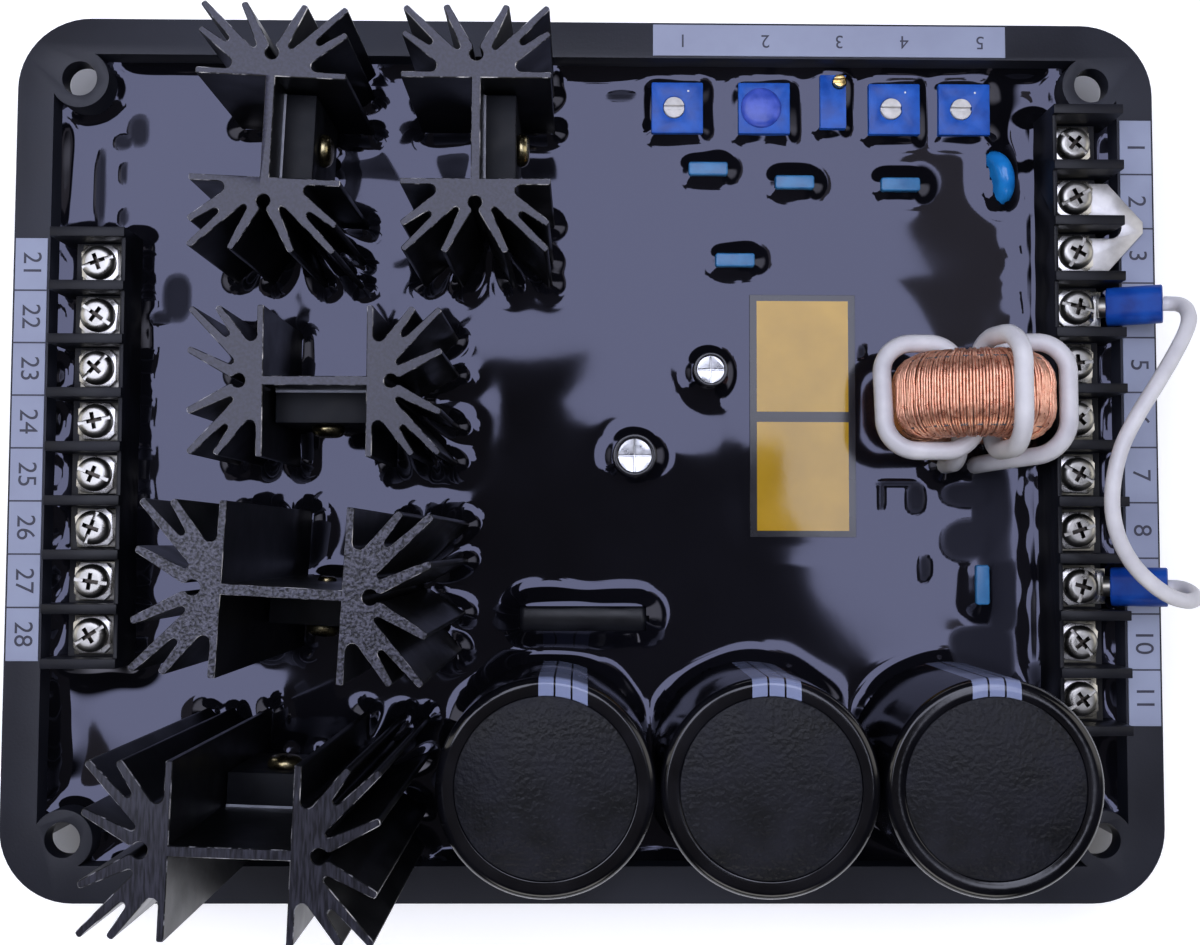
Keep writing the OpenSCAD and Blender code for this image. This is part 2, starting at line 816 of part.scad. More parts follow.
// Heat sink i, with its pin slots and the hole for the device's screw
module heat_sink(i) {
    color("#26272c")
        at_sink(i)
            difference() {
                linear_extrude(sinks[i - 1][2])
                    difference() {
                        sink_outline();
                        for (side = [0, 180])
                            rotate(side)
                                translate([pin_x, 0]) {
                                    circle(d = sink_hole_d);
                                    translate([0, -slot_w / 2])
                                        square([slot_root + cut, slot_w]);
                                }
                    }
                translate([0, 0, sinks[i - 1][4]])
                    rotate([90, 0, 0])
                        cylinder(d = device_hole_d, h = 4 * sink_web_t, center = true);
            }
}

// Solder pins in the lower ends of the pin holes
module heat_sink_pins() {
    color("#b9b7b0")
        at_sink_pins()
            translate([0, 0, board_base])
                cylinder(d = sink_hole_d - 2 * pin_fit, h = board_t + sink_pin_h);
}

// Children on the screw axis of device i, on the web's face: local +Z points out past the device
module at_device_screw(i) {
    at_sink(i)
        translate([0, -sink_web_t / 2, sinks[i - 1][4]])
            rotate([90, 0, 0])
                children();
}

// Flat shape of a device about its screw, less the screw's hole
module device_outline() {
    difference() {
        translate([-device_w / 2, device_hole_drop - device_h])
            square([device_w, device_h]);
        circle(d = device_hole_d);
    }
}

// Thin insulating pads between the webs and the devices
module insulating_pads() {
    color("#8f9096")
        for (i = [1 : len(sinks)])
            at_device_screw(i)
                linear_extrude(pad_t)
                    device_outline();
}

// Power device i: moulded body and three legs down to the board
module power_device(i) {
    leg_l = sinks[i - 1][4] + device_hole_drop - device_h;
    color("#2a2c33") {
        at_device_screw(i)
            translate([0, 0, pad_t])
                linear_extrude(device_t)
                    device_outline();
        at_sink(i)
            for (leg = [-1 : 1])
                translate([leg * leg_pitch - leg_w / 2, leg_y, 0])
                    cube([leg_w, leg_t, leg_l]);
    }
}

// Screws that hold the devices, driven into the webs
module device_screws() {
    edge = 0.8;
    r = device_head_d / 2;
    color("#b08a3e")
        for (i = [1 : len(sinks)])
            at_device_screw(i)
                translate([0, 0, pad_t + device_t])
                    rotate_extrude()
                        polygon([[0, -device_screw_l], [device_screw_d / 2, -device_screw_l],
                            [device_screw_d / 2, 0], [r, 0], [r, device_head_h - edge],
                            [r - edge, device_head_h], [0, device_head_h]]);
}

// Sleeved can of filter capacitor i, with a recess for its end disc
module filter_capacitor(i) {
    r = cap_d / 2;
    step = 30;
    middle = [r - cap_edge_r, cap_h - cap_edge_r];
    edge = [for (a = [0 : step : 90]) middle + cap_edge_r * [cos(a), sin(a)]];
    color("#1b1b21")
        translate([cap_x[i - 1], cap_y, board_top])
            rotate_extrude()
                polygon(concat([[0, 0], [r, 0]], edge, [[cap_disc_d / 2, cap_h],
                    [cap_disc_d / 2, cap_h - disc_recess], [0, cap_h - disc_recess]]));
}

// Insulating discs on the filter capacitors' ends
module capacitor_end_discs() {
    color("#24252c")
        for (x = cap_x)
            translate([x, cap_y, board_top + cap_h - disc_recess])
                cylinder(d = cap_disc_d - 2 * pot_gap, h = disc_h);
}

// Aluminium can of small capacitor i, scored across its top
module small_capacitor_can(i) {
    c = small_caps[i - 1];
    d = c[2] - 2 * sleeve_wall - 2 * sleeve_gap;
    score_w = 0.3;
    score_h = 0.2;
    color("#cfd0d3")
        translate([c[0], c[1], board_top])
            difference() {
                cylinder(d = d, h = small_cap_h - sleeve_wall);
                for (turn = [0, 90])
                    rotate(turn)
                        translate([-d * 0.4, -score_w / 2, small_cap_h - sleeve_wall - score_h])
                            cube([d * 0.8, score_w, score_h + cut]);
            }
}

// Shrunk sleeve of small capacitor i
module small_capacitor_sleeve(i) {
    c = small_caps[i - 1];
    color("#1a1a20")
        translate([c[0], c[1], board_top])
            difference() {
                cylinder(d = c[2], h = small_cap_h);
                translate([0, 0, -cut])
                    cylinder(d = c[2] - 2 * sleeve_wall, h = small_cap_h + 2 * cut);
            }
}

// Flat shape of film capacitor i
module film_outline(i) {
    edge_r = 0.5;
    translate([films[i - 1][0], films[i - 1][1]])
        rotate(films[i - 1][2])
            rounded_rect(film_l, film_t, edge_r);
}

// Dipped film capacitor i
module film_capacitor(i) {
    color("#3f86b8")
        translate([0, 0, board_top])
            linear_extrude(film_h)
                film_outline(i);
}

// Children at the disc capacitor's middle, along its axis, turned and leaning as it was soldered
module at_disc() {
    translate(disc_place)
        rotate([0, 90 + disc_lean, disc_turn])
            children();
}

// Ceramic disc capacitor with a rounded edge
module disc_capacitor() {
    flat_r = (disc_d - disc_t) / 2;
    color("#1f86cf")
        at_disc()
            rotate_extrude() {
                translate([0, -disc_t / 2])
                    square([flat_r, disc_t]);
                intersection() {
                    translate([flat_r, 0])
                        circle(d = disc_t);
                    translate([flat_r - cut, -disc_t])
                        square([disc_t + cut, 2 * disc_t]);
                }
            }
}

// Barrel of the axial resistor, half sunk in the resin
module axial_resistor() {
    edge = 1;
    r = resistor_d / 2;
    l = resistor_l / 2;
    color("#202026")
        translate(resistor_place)
            rotate([0, 90, 0])
                rotate_extrude()
                    polygon([[0, -l], [r - edge, -l], [r, edge - l], [r, l - edge], [r - edge, l], [0, l]]);
}

// Children at the middle of rotor i, on the trimmer's top
module at_rotor(i) {
    translate([trimmer_x[i - 1] - rotor_shift, trimmer_y, trimmer_top])
        children();
}

// Body of square trimmer i, with the rotor's seat
module trimmer_body(i) {
    color("#1f4fc0")
        difference() {
            translate([trimmer_x[i - 1] - trimmer_w / 2, trimmer_y - trimmer_w / 2, board_top])
                cube([trimmer_w, trimmer_w, trimmer_h]);
            at_rotor(i)
                translate([0, 0, -rotor_depth])
                    cylinder(d = rotor_d + 2 * rotor_gap, h = rotor_depth + cut);
        }
}

// Slotted rotor i
module trimmer_rotor(i) {
    base = rotor_floor_gap - rotor_depth;
    color("#e4e4e0")
        at_rotor(i)
            difference() {
                translate([0, 0, base])
                    cylinder(d = rotor_d, h = rotor_proud - base);
                translate([-rotor_d, -rotor_slot_w / 2, rotor_proud - rotor_slot_depth])
                    cube([2 * rotor_d, rotor_slot_w, rotor_slot_depth + cut]);
            }
}

// Lacquer over the second rotor, which fixes its setting
module trimmer_seal() {
    color("#3a62c8")
        at_rotor(2)
            difference() {
                rotate_extrude()
                    polygon([[0, 0], [seal_d / 2, 0], [seal_d / 2 - 0.3, seal_h * 0.6],
                        [seal_d / 2 - 1, seal_h], [0, seal_h]]);
                translate([0, 0, -cut])
                    cylinder(d = rotor_d + 2 * rotor_gap, h = rotor_proud + rotor_gap + cut);
            }
}

// Children at the multi-turn trimmer's screw, on the body's top
module at_multi_screw() {
    translate([multi_place[0] + multi_screw_at[0], multi_place[1] + multi_screw_at[1], trimmer_top])
        children();
}

// Body of the multi-turn trimmer, with the screw's seat
module multiturn_trimmer_body() {
    color("#1f4fc0")
        difference() {
            translate([multi_place[0] - multi_w / 2, multi_place[1] - multi_l / 2, board_top])
                cube([multi_w, multi_l, trimmer_h]);
            at_multi_screw()
                translate([0, 0, -multi_screw_seat])
                    cylinder(d = multi_screw_d + 2 * rotor_gap, h = multi_screw_seat + cut);
        }
}

// Brass adjusting screw of the multi-turn trimmer
module multiturn_trimmer_screw() {
    base = rotor_floor_gap - multi_screw_seat;
    color("#c8a24a")
        at_multi_screw()
            difference() {
                translate([0, 0, base])
                    cylinder(d = multi_screw_d, h = multi_screw_proud - base);
                translate([-multi_screw_d, -rotor_slot_w / 2, multi_screw_proud - rotor_slot_depth])
                    cube([2 * multi_screw_d, rotor_slot_w, rotor_slot_depth + cut]);
            }
}

// Children at the middle of the wound ring
module at_ring() {
    translate(ring_place)
        children();
}

// Ring with rounded edges, its axis along Y
module ring_solid() {
    rotate([90, 0, 0])
        rotate_extrude()
            translate([(ring_d + ring_hole_d) / 4, 0])
                rounded_rect((ring_d - ring_hole_d) / 2, ring_w, winding_r);
}

// Cross-section of the ring's core, inside the winding
module core_solid(gap = 0) {
    thick = (ring_d - ring_hole_d) / 2 - 2 * winding_t + 2 * gap;
    rotate([90, 0, 0])
        rotate_extrude()
            translate([(ring_d + ring_hole_d) / 4, 0])
                square([thick, ring_w - 2 * winding_t + 2 * gap], center = true);
}

// Core of the current transformer
module transformer_core() {
    color("#4a4a4e")
        at_ring()
            core_solid();
}

// Copper winding wrapped all round the core
module transformer_winding() {
    color("#d98e68")
        at_ring()
            difference() {
                ring_solid();
                core_solid(pot_gap);
            }
}

// Insulated lead: in from the board, three turns through the ring, and back to the board
module transformer_lead() {
    color("#d9d9de")
        at_ring()
            tube(softened(lead_corners, lead_bend), lead_d, lead_sides);
}

// Tinned link plate between two right-hand terminals, slotted round their barrier
module link_plate() {
    half = right_pitch / 2 + link_half_tongue;
    middle = way_y(link_way + 0.5, right_ways, right_pitch);
    color("#cfcdcb")
        right_strip()
            translate([0, middle, lug_z])
                linear_extrude(link_t)
                    difference() {
                        polygon([[-lug_heel, half], [link_taper, half], [link_reach, link_nose],
                            [link_reach, -link_nose], [link_taper, -half], [-lug_heel, -half]]);
                        translate([-lug_heel - cut, -link_slot_w / 2])
                            square([link_slot_end + lug_heel + cut - link_slot_w / 2, link_slot_w]);
                        translate([link_slot_end - link_slot_w / 2, 0])
                            circle(d = link_slot_w);
                        for (side = [-1, 1])
                            translate([0, side * right_pitch / 2])
                                fork_slot();
                    }
}

// Slot of a fork round a terminal screw, open inwards
module fork_slot() {
    circle(d = screw_d + 2 * screw_fit);
    translate([-lug_heel - cut, -screw_d / 2 - screw_fit])
        square([lug_heel + cut, screw_d + 2 * screw_fit]);
}

// Children at each of the jumper's terminals, on the contact plate
module at_jumper_ways() {
    right_strip()
        for (way = jumper_ways)
            translate([0, way_y(way, right_ways, right_pitch), lug_z])
                children();
}

// Children on the axis of a crimp: local +Z points out along the wire
module at_crimp() {
    translate([crimp_out, 0, crimp_rise])
        rotate([0, 90 - crimp_tilt, 0])
            children();
}

// Fork lugs with their crimp barrels
module jumper_terminals() {
    heel_w = 3.4;
    color("#c4c4c0")
        at_jumper_ways() {
            linear_extrude(link_t)
                difference() {
                    translate([-lug_heel, -lug_w / 2])
                        square([crimp_out + link_t + lug_heel, lug_w]);
                    fork_slot();
                }
            translate([crimp_out, -heel_w / 2, 0])
                cube([link_t, heel_w, crimp_rise]);
            at_crimp()
                cylinder(d = barrel_d, h = barrel_l);
        }
}

// Vinyl sleeves over the crimp barrels
module jumper_sleeves() {
    start = 1.2;
    color("#1340a8")
        at_jumper_ways()
            at_crimp()
                translate([0, 0, start])
                    difference() {
                        linear_extrude(crimp_l - start)
                            rounded_rect(crimp_h, crimp_w, crimp_h / 2 - pot_gap);
                        translate([0, 0, -cut])
                            cylinder(d = barrel_d + 2 * pot_gap, h = barrel_l - start + pot_gap + cut);
                    }
}

// Jumper wire between the two crimps
module jumper_wire() {
    color("#d9d9de")
        right_strip()
            translate([0, 0, lug_z])
                tube([for (p = jumper_route) [p[0], p[1] * right_pitch, p[2]]], jumper_d, jumper_sides);
}

// Films on the rim beside the strips and the trimmers
module rim_labels() {
    color("#8f8fa6")
        translate([0, 0, tray_h]) {
            translate([-half_w + label_inset, left_y - left_ways * left_pitch / 2, 0])
                cube([rim_label_w, left_ways * left_pitch, label_t]);
            translate([half_w - label_inset - rim_label_w, right_y - right_ways * right_pitch / 2, 0])
                cube([rim_label_w, right_ways * right_pitch, label_t]);
            translate([rear_label_x - rear_label_l / 2, half_d - label_inset - rim_label_w, 0])
                cube([rear_label_l, rim_label_w, label_t]);
        }
}

// Film on the resin between the small capacitors and the transformer
module centre_label() {
    color("#b08a1a")
        translate([centre_label_at[0], centre_label_at[1], resin_top + label_t / 2])
            cube([centre_label_w, centre_label_d, label_t], center = true);
}

tray();
circuit_board();
potting_resin();
left_terminal_block();
left_terminal_plates();
left_terminal_washers();
left_terminal_screws();
right_terminal_block();
right_terminal_plates();
right_terminal_washers();
right_terminal_screws();
heat_sink(1);  // heat_sink_1
heat_sink(2);  // heat_sink_2
heat_sink(3);  // heat_sink_3
heat_sink(4);  // heat_sink_4
heat_sink(5);  // heat_sink_5
heat_sink_pins();
power_device(1);  // power_device_1
power_device(2);  // power_device_2
power_device(3);  // power_device_3
power_device(4);  // power_device_4
power_device(5);  // power_device_5
insulating_pads();
device_screws();
filter_capacitor(1);  // filter_capacitor_1
filter_capacitor(2);  // filter_capacitor_2
filter_capacitor(3);  // filter_capacitor_3
capacitor_end_discs();
small_capacitor_can(1);  // small_capacitor_can_1
small_capacitor_can(2);  // small_capacitor_can_2
small_capacitor_sleeve(1);  // small_capacitor_sleeve_1
small_capacitor_sleeve(2);  // small_capacitor_sleeve_2
film_capacitor(1);  // film_capacitor_1
film_capacitor(2);  // film_capacitor_2
film_capacitor(3);  // film_capacitor_3
film_capacitor(4);  // film_capacitor_4
film_capacitor(5);  // film_capacitor_5
disc_capacitor();
axial_resistor();
trimmer_body(1);  // trimmer_body_1
trimmer_body(2);  // trimmer_body_2
trimmer_body(3);  // trimmer_body_3
trimmer_body(4);  // trimmer_body_4
trimmer_rotor(1);  // trimmer_rotor_1
trimmer_rotor(2);  // trimmer_rotor_2
trimmer_rotor(3);  // trimmer_rotor_3
trimmer_rotor(4);  // trimmer_rotor_4
trimmer_seal();
multiturn_trimmer_body();
multiturn_trimmer_screw();
transformer_core();
transformer_winding();
transformer_lead();
link_plate();
jumper_terminals();
jumper_sleeves();
jumper_wire();
rim_labels();
centre_label();
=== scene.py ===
import json
import math

import bmesh
import bpy
import numpy as np
from mathutils import Matrix, Vector
from mathutils.bvhtree import BVHTree

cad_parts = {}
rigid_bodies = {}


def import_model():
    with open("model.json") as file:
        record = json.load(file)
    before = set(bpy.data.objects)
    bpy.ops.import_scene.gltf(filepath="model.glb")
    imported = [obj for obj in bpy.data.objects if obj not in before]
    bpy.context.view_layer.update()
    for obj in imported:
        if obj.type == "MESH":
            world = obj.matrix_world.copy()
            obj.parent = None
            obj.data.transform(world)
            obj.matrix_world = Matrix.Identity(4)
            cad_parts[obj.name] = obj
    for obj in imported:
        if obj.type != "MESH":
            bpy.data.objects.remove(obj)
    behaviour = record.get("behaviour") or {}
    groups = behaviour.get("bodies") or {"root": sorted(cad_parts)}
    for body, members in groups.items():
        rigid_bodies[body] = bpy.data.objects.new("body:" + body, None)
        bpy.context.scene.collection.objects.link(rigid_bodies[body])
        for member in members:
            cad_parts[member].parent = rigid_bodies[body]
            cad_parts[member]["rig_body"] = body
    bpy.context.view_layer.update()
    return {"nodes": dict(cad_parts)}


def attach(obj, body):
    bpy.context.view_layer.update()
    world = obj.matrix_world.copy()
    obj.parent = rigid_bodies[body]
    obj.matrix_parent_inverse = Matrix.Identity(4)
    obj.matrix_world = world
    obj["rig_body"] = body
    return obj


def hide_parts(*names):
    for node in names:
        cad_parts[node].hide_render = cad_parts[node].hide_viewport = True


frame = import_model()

MM = 0.001

# Tray: an injection-moulded black ABS tub with a flat flange, a lobed screw hole at each corner and
# softly rounded edges. It is screwed down through the four holes and holds everything else.


def linear(code):
    """A colour written as #rrggbb, as the linear RGBA that the shaders use."""
    values = [int(code[i : i + 2], 16) / 255 for i in (1, 3, 5)]
    return tuple(v / 12.92 if v <= 0.04045 else ((v + 0.055) / 1.055) ** 2.4 for v in values) + (1.0,)


def add(tree, kind, settings=None, links=None):
    """A shader node with settings (properties by name, sockets by name or number) and links, each
    from a socket or from a node's first output."""
    node = tree.nodes.new("ShaderNode" + kind)
    for key, value in (settings or {}).items():
        if isinstance(key, str) and hasattr(node, key):
            setattr(node, key, value)
        else:
            node.inputs[key].default_value = value
    for key, source in (links or {}).items():
        socket = source.outputs[0] if isinstance(source, bpy.types.Node) else source
        tree.links.new(socket, node.inputs[key])
    return node


def surface(name, dark, pale, patch, rough, grain, depth, sockets=None):
    """A material that drifts from dark to pale over patches and has a fine grain; sizes in mm."""
    made = bpy.data.materials.new(name)
    made.use_nodes = True
    tree = made.node_tree
    shader = tree.nodes["Principled BSDF"]
    for key, value in (sockets or {}).items():
        shader.inputs[key].default_value = value
    place = add(tree, "TexCoord").outputs["Object"]
    drift = add(tree, "TexNoise", {"Scale": 1 / (patch * MM), "Detail": 5.0}, {"Vector": place})
    level = add(tree, "MapRange", {"From Min": 0.35, "From Max": 0.65}, {"Value": drift})
    tint = add(tree, "Mix", {"data_type": "RGBA", 6: linear(dark), 7: linear(pale)}, {0: level})
    sheen = add(tree, "MapRange", {"To Min": rough[0], "To Max": rough[1]}, {"Value": level})
    fine = add(tree, "TexNoise", {"Scale": 1 / (grain * MM), "Detail": 2.0}, {"Vector": place})
    bump = add(tree, "Bump", {"Distance": depth * MM}, {"Height": fine})
    tree.links.new(tint.outputs[2], shader.inputs["Base Color"])
    tree.links.new(sheen.outputs[0], shader.inputs["Roughness"])
    tree.links.new(bump.outputs[0], shader.inputs["Normal"])
    return made


def only(piece):
    """Makes the piece the only selected object and the active one."""
    bpy.ops.object.select_all(action="DESELECT")
    piece.select_set(True)
    bpy.context.view_layer.objects.active = piece
    return piece


def dress(piece, made):
    """Gives the piece its material."""
    piece.data.materials.clear()
    piece.data.materials.append(made)
    return piece


def stand_in(piece, nodes, made):
    """Lets the piece stand for CAD nodes of one body, with that material."""
    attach(piece, frame["nodes"][nodes[0]]["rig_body"])
    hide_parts(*nodes)
    return dress(piece, made)


def softened(name, width, made, segments=2, sharp=35):
    """A copy of a CAD node with the edges past that angle rounded by that width in mm."""
    merge_gap, flat_turn = 0.002, 0.5
    source = frame["nodes"][name]
    piece = bpy.data.objects.new(name + "_soft", source.data.copy())
    bpy.context.collection.objects.link(piece)
    only(piece)
    bpy.ops.mesh.customdata_custom_splitnormals_clear()
    bpy.ops.object.mode_set(mode="EDIT")
    bpy.ops.mesh.select_all(action="SELECT")
    bpy.ops.mesh.remove_doubles(threshold=merge_gap * MM)
    bpy.ops.mesh.dissolve_limited(angle_limit=math.radians(flat_turn))
    bpy.ops.object.mode_set(mode="OBJECT")
    edge = piece.modifiers.new("edge", "BEVEL")
    edge.width = width * MM
    edge.segments = segments
    edge.limit_method = "ANGLE"
    edge.angle_limit = math.radians(sharp)
    bpy.ops.object.modifier_apply(modifier="edge")
    bpy.ops.object.shade_smooth_by_angle(angle=math.radians(sharp))
    return stand_in(piece, [name], made)


# Moulded black ABS: satin, with a faint grey bloom and a fine spark-eroded grain
abs_black = surface(
    "moulded_black_abs", "#1c1d24", "#282a33", 28, (0.42, 0.55), 0.5, 0.02, {"Specular IOR Level": 0.3}
)
softened("tray", 0.5, abs_black, segments=3)

# Circuit board: a glass-epoxy board that carries every part by its solder joints. It rests on the
# tray's posts and lies fully drowned in the resin.
# Board laminate: dull green resist over glass cloth
laminate = surface("green_board_laminate", "#1c4a2b", "#235a36", 12, (0.35, 0.5), 0.6, 0.02)
dress(frame["nodes"]["circuit_board"], laminate)

# Potting resin: black epoxy poured round every part, which set with a mirror surface. It climbs the
# walls of all that it wets and shows soft bumps over the parts that it drowns.
resin_level, resin_foot = 16, 12
resin_half = (96.6, 72.85)
resin_cell = 0.56
bpy.ops.mesh.primitive_grid_add(
    x_subdivisions=round(2 * resin_half[0] / resin_cell),
    y_subdivisions=round(2 * resin_half[1] / resin_cell),
    size=2,
)
resin = bpy.context.object
resin.name = "potting_resin_poured"
resin.scale = (resin_half[0] * MM, resin_half[1] * MM, 1)
bpy.ops.object.transform_apply()
count = len(resin.data.vertices)
points = np.empty(count * 3)
resin.data.vertices.foreach_get("co", points)
points = points.reshape(-1, 3)
at = points[:, :2] / MM
resin_random = np.random.default_rng(4)


def ripples(number, lengths, height):
    """Sum of sine waves that run all ways over the resin; each has a height for its length in mm."""
    total = np.zeros(count)
    for _ in range(number):
        turn, length = resin_random.uniform(0, math.tau), resin_random.uniform(*lengths)
        along = at[:, 0] * math.cos(turn) + at[:, 1] * math.sin(turn)
        total += height(length) * np.sin(math.tau * (along / length + resin_random.uniform()))
    return total


# How far the resin is drawn up beside a wall: unevenly, and once a way along the strips' inner feet
ragged = ripples(number=10, lengths=(7, 18), height=lambda length: 0.06)
left_middle, left_pitch, left_foot = 1, 9.4, -77
right_middle, right_pitch, right_foot = 6.8, 9.9, 79
lobes = np.where(
    at[:, 0] < 0,
    np.cos(math.tau * (at[:, 1] - left_middle) / left_pitch),
    -np.cos(math.tau * (at[:, 1] - right_middle) / right_pitch),
)
foot_near, foot_fade, foot_swell, lobe_swell = 8.8, 4, 0.25, 0.3
off_foot = np.minimum(np.abs(at[:, 0] - left_foot), np.abs(at[:, 0] - right_foot))
beside_strip = np.clip((foot_near - off_foot) / foot_fade, 0, 1)
reach = 1 + ragged + beside_strip * (foot_swell + lobe_swell * lobes)
# Large pieces draw the resin up further than small ones: node names, climb, decay
wetted = (
    (("tray", "heat_sink", "filter", "left_", "right_", "transformer", "axial"), 2.3, 1.3),
    (("power", "small", "film", "disc", "trimmer", "multiturn", "insulating", "device"), 1.5, 1.0),
)
wall_search, wet_gap, buried_gap, probe_lift = 12, 0.7, 0.5, 0.05
rise = np.zeros(count)
held = np.zeros(count, bool)
sunk = np.zeros(count, bool)
for names, climb, decay in wetted:
    corners, faces = [], []
    for name, node in frame["nodes"].items():
        if name.startswith(names):
            first = len(corners)
            corners += [tuple(v.co) for v in node.data.vertices]
            faces += [tuple(first + i for i in p.vertices) for p in node.data.polygons]
    walls = BVHTree.FromPolygons(corners, faces)
    for i, (px, py, _) in enumerate(points):
        spot = Vector((px, py, (resin_level + probe_lift) * MM))
        near, normal, _, gap = walls.find_nearest(spot, wall_search * MM)
        if near is None:
            continue
        gap /= MM
        within = (spot - near).dot(normal) < 0
        if within:
            # near an edge the nearest face may mislead: inside a wall, the first face above looks up
            _, upper, _, _ = walls.ray_cast(spot, Vector((0, 0, 1)))
            within = upper is not None and upper.z > 0
        if within:
            rise[i] = max(rise[i], climb)
            sunk[i] = sunk[i] or gap >= buried_gap
        elif gap < wet_gap:
            rise[i] = max(rise[i], climb * math.exp(-gap / (decay * reach[i])))
        held[i] = held[i] or within or gap < wet_gap
# Surface tension: between the walls the skin hangs as a stretched film that its weight draws level,
# and the last turns let go of the walls, to ease the film onto them
film_turns, free_turns, film_reach, buried_depth = 150, 4, 1.2, 2.6
columns = np.round((at[:, 0] + resin_half[0]) / resin_cell).astype(int)
rows = np.round((at[:, 1] + resin_half[1]) / resin_cell).astype(int)
heights = np.zeros((rows.max() + 1, columns.max() + 1))
heights[rows, columns] = rise
fixed = np.zeros(heights.shape, bool)
fixed[rows, columns] = held
draw = np.zeros(heights.shape)
draw[rows, columns] = (resin_cell / (film_reach * reach)) ** 2
for turn in range(film_turns):
    border = np.pad(heights, 1, "edge")
    around = border[2:, 1:-1] + border[:-2, 1:-1] + border[1:-1, 2:] + border[1:-1, :-2]
    film = around / (4 + draw)
    heights = np.where(fixed & (turn < film_turns - free_turns), heights, film)
rise = np.where(sunk, -buried_depth, heights[rows, columns])
wave = ripples(number=14, lengths=(16, 45), height=lambda length: 0.0005 * length)


def blots(places, power, fray):
    """How far each point lies in rounded blots with frayed edges; middles and half sizes in mm."""
    core, fall = 1.6, 0.9
    share = np.zeros(count)
    for cx, cy, hx, hy in places:
        spread = np.abs((at[:, 0] - cx) / hx) ** power + np.abs((at[:, 1] - cy) / hy) ** power
        share = np.maximum(share, np.clip(core - fall * spread - fray * ragged, 0, 1))
    return share


drowned_parts = (
    (-82.5, 60, 1.8, 3), (-85.2, 57.8, 1.4, 1.2), (-89.1, 48.6, 0.8, 6.2), (-85, 52, 0.6, 2),
    (-84.9, 43.8, 0.6, 1.5), (-75, 29.1, 2.4, 3.9), (-77.6, 25.4, 1.6, 1), (60.3, -7.1, 1.4, 2.5),
    (57, -4.6, 3.4, 0.25), (54, -6.8, 0.3, 2), (69.3, -6.5, 4, 1.9), (69.6, -14.8, 4, 3.2),
    (61.7, -20, 0.8, 2), (50.4, 19.7, 0.6, 1), (6.2, 67, 2.4, 0.8),
)
# Beside the right strip the skin set hazy, with no bump
hazy_places = ((74.4, -10.6, 3.4, 9), (76, -24.5, 2.2, 6.5), (71.9, -35.4, 5.6, 4.4))
bumps, bump_height = blots(drowned_parts, power=2.6, fray=1), 0.25
dull = np.maximum(bumps, blots(hazy_places, power=4, fray=2))
resin.data.attributes.new("dull", "FLOAT", "POINT").data.foreach_set("value", dull)
# Under the centre label the resin lies flat
label_middle, label_reach, label_fade, label_dip = (39.6, 7.9), (15, 27.5), 4, 0.04
flat = np.ones(count)
for axis in (0, 1):
    off = np.abs(at[:, axis] - label_middle[axis])
    flat *= np.clip((label_reach[axis] - off) / label_fade, 0, 1)
skin = resin_level + rise * (1 - flat) + bump_height * bumps + wave * (1 - flat) - label_dip * flat
points[:, 2] = skin * MM
resin.data.vertices.foreach_set("co", points.ravel())


def pick(piece, test):
    """Opens the piece in edit mode with the vertices that pass the test (in mm) selected."""
    if bpy.context.mode != "OBJECT":
        bpy.ops.object.mode_set(mode="OBJECT")
    only(piece)
    bpy.ops.object.mode_set(mode="EDIT")
    bpy.ops.mesh.select_mode(type="VERT")
    bpy.ops.mesh.select_all(action="DESELECT")
    shape = bmesh.from_edit_mesh(piece.data)
    for v in shape.verts:
        v.select_set(test(*(v.co / MM)))
    shape.select_flush(True)
    bmesh.update_edit_mesh(piece.data)


def over_hole(x, y, z):
    """True over a mounting hole and in the corner behind it."""
    hole_x, hole_y, lobe_r = 91.5, 67.75, 4.2
    dx, dy = abs(x) - hole_x, abs(y) - hole_y
    return math.hypot(dx, dy) < lobe_r or (dx > 0 and dy > 0)


pick(resin, over_hole)
bpy.ops.mesh.delete(type="VERT")
bpy.ops.mesh.select_all(action="SELECT")
bpy.ops.mesh.extrude_region_move(TRANSFORM_OT_translate={"value": (0, 0, (resin_foot - resin_level) * MM)})
bpy.ops.transform.resize(value=(1, 1, 0), center_override=(0, 0, resin_foot * MM))
bpy.ops.mesh.dissolve_faces()
bpy.ops.mesh.select_all(action="SELECT")
bpy.ops.mesh.normals_make_consistent(inside=False)
bpy.ops.object.mode_set(mode="OBJECT")
bpy.ops.object.shade_smooth_by_angle(angle=math.radians(60))


def overlay(tree, name, over, share):
    """Lays a colour or a number over what feeds that socket of the shader, by a linked share."""
    socket = tree.nodes["Principled BSDF"].inputs[name]
    kind, below, above, out = ("RGBA", 6, 7, 2) if isinstance(over, tuple) else ("FLOAT", 2, 3, 0)
    links = {0: share, below: socket.links[0].from_socket}
    mix = add(tree, "Mix", {"data_type": kind, above: over}, links)
    tree.links.new(mix.outputs[out], socket)


# Cast black epoxy: near-black body under a mirror skin with a faint blue cast, matt where it is dull
epoxy = surface(
    "cast_black_epoxy", "#08080b", "#0d0d12", 30, (0.03, 0.07), 6, 0.004,
    {"IOR": 1.56, "Specular Tint": (0.72, 0.74, 1.0, 1.0)},
)
matt = 0.8
spots = add(epoxy.node_tree, "Attribute", {"attribute_name": "dull"})
overlay(epoxy.node_tree, "Roughness", matt, spots.outputs["Fac"])
stand_in(resin, ["potting_resin"], epoxy)

# Terminal blocks: moulded black phenolic barrier strips with a bay for each way. They are soldered
# to the board, and the resin holds their feet.
# Phenolic: hard and even, with a soft gloss on its moulded faces
phenolic = surface(
    "black_phenolic", "#0e0f13", "#181920", 10, (0.36, 0.5), 0.8, 0.01, {"Specular IOR Level": 0.22}
)
for side in ("left", "right"):
    softened(f"{side}_terminal_block", 0.28, phenolic)
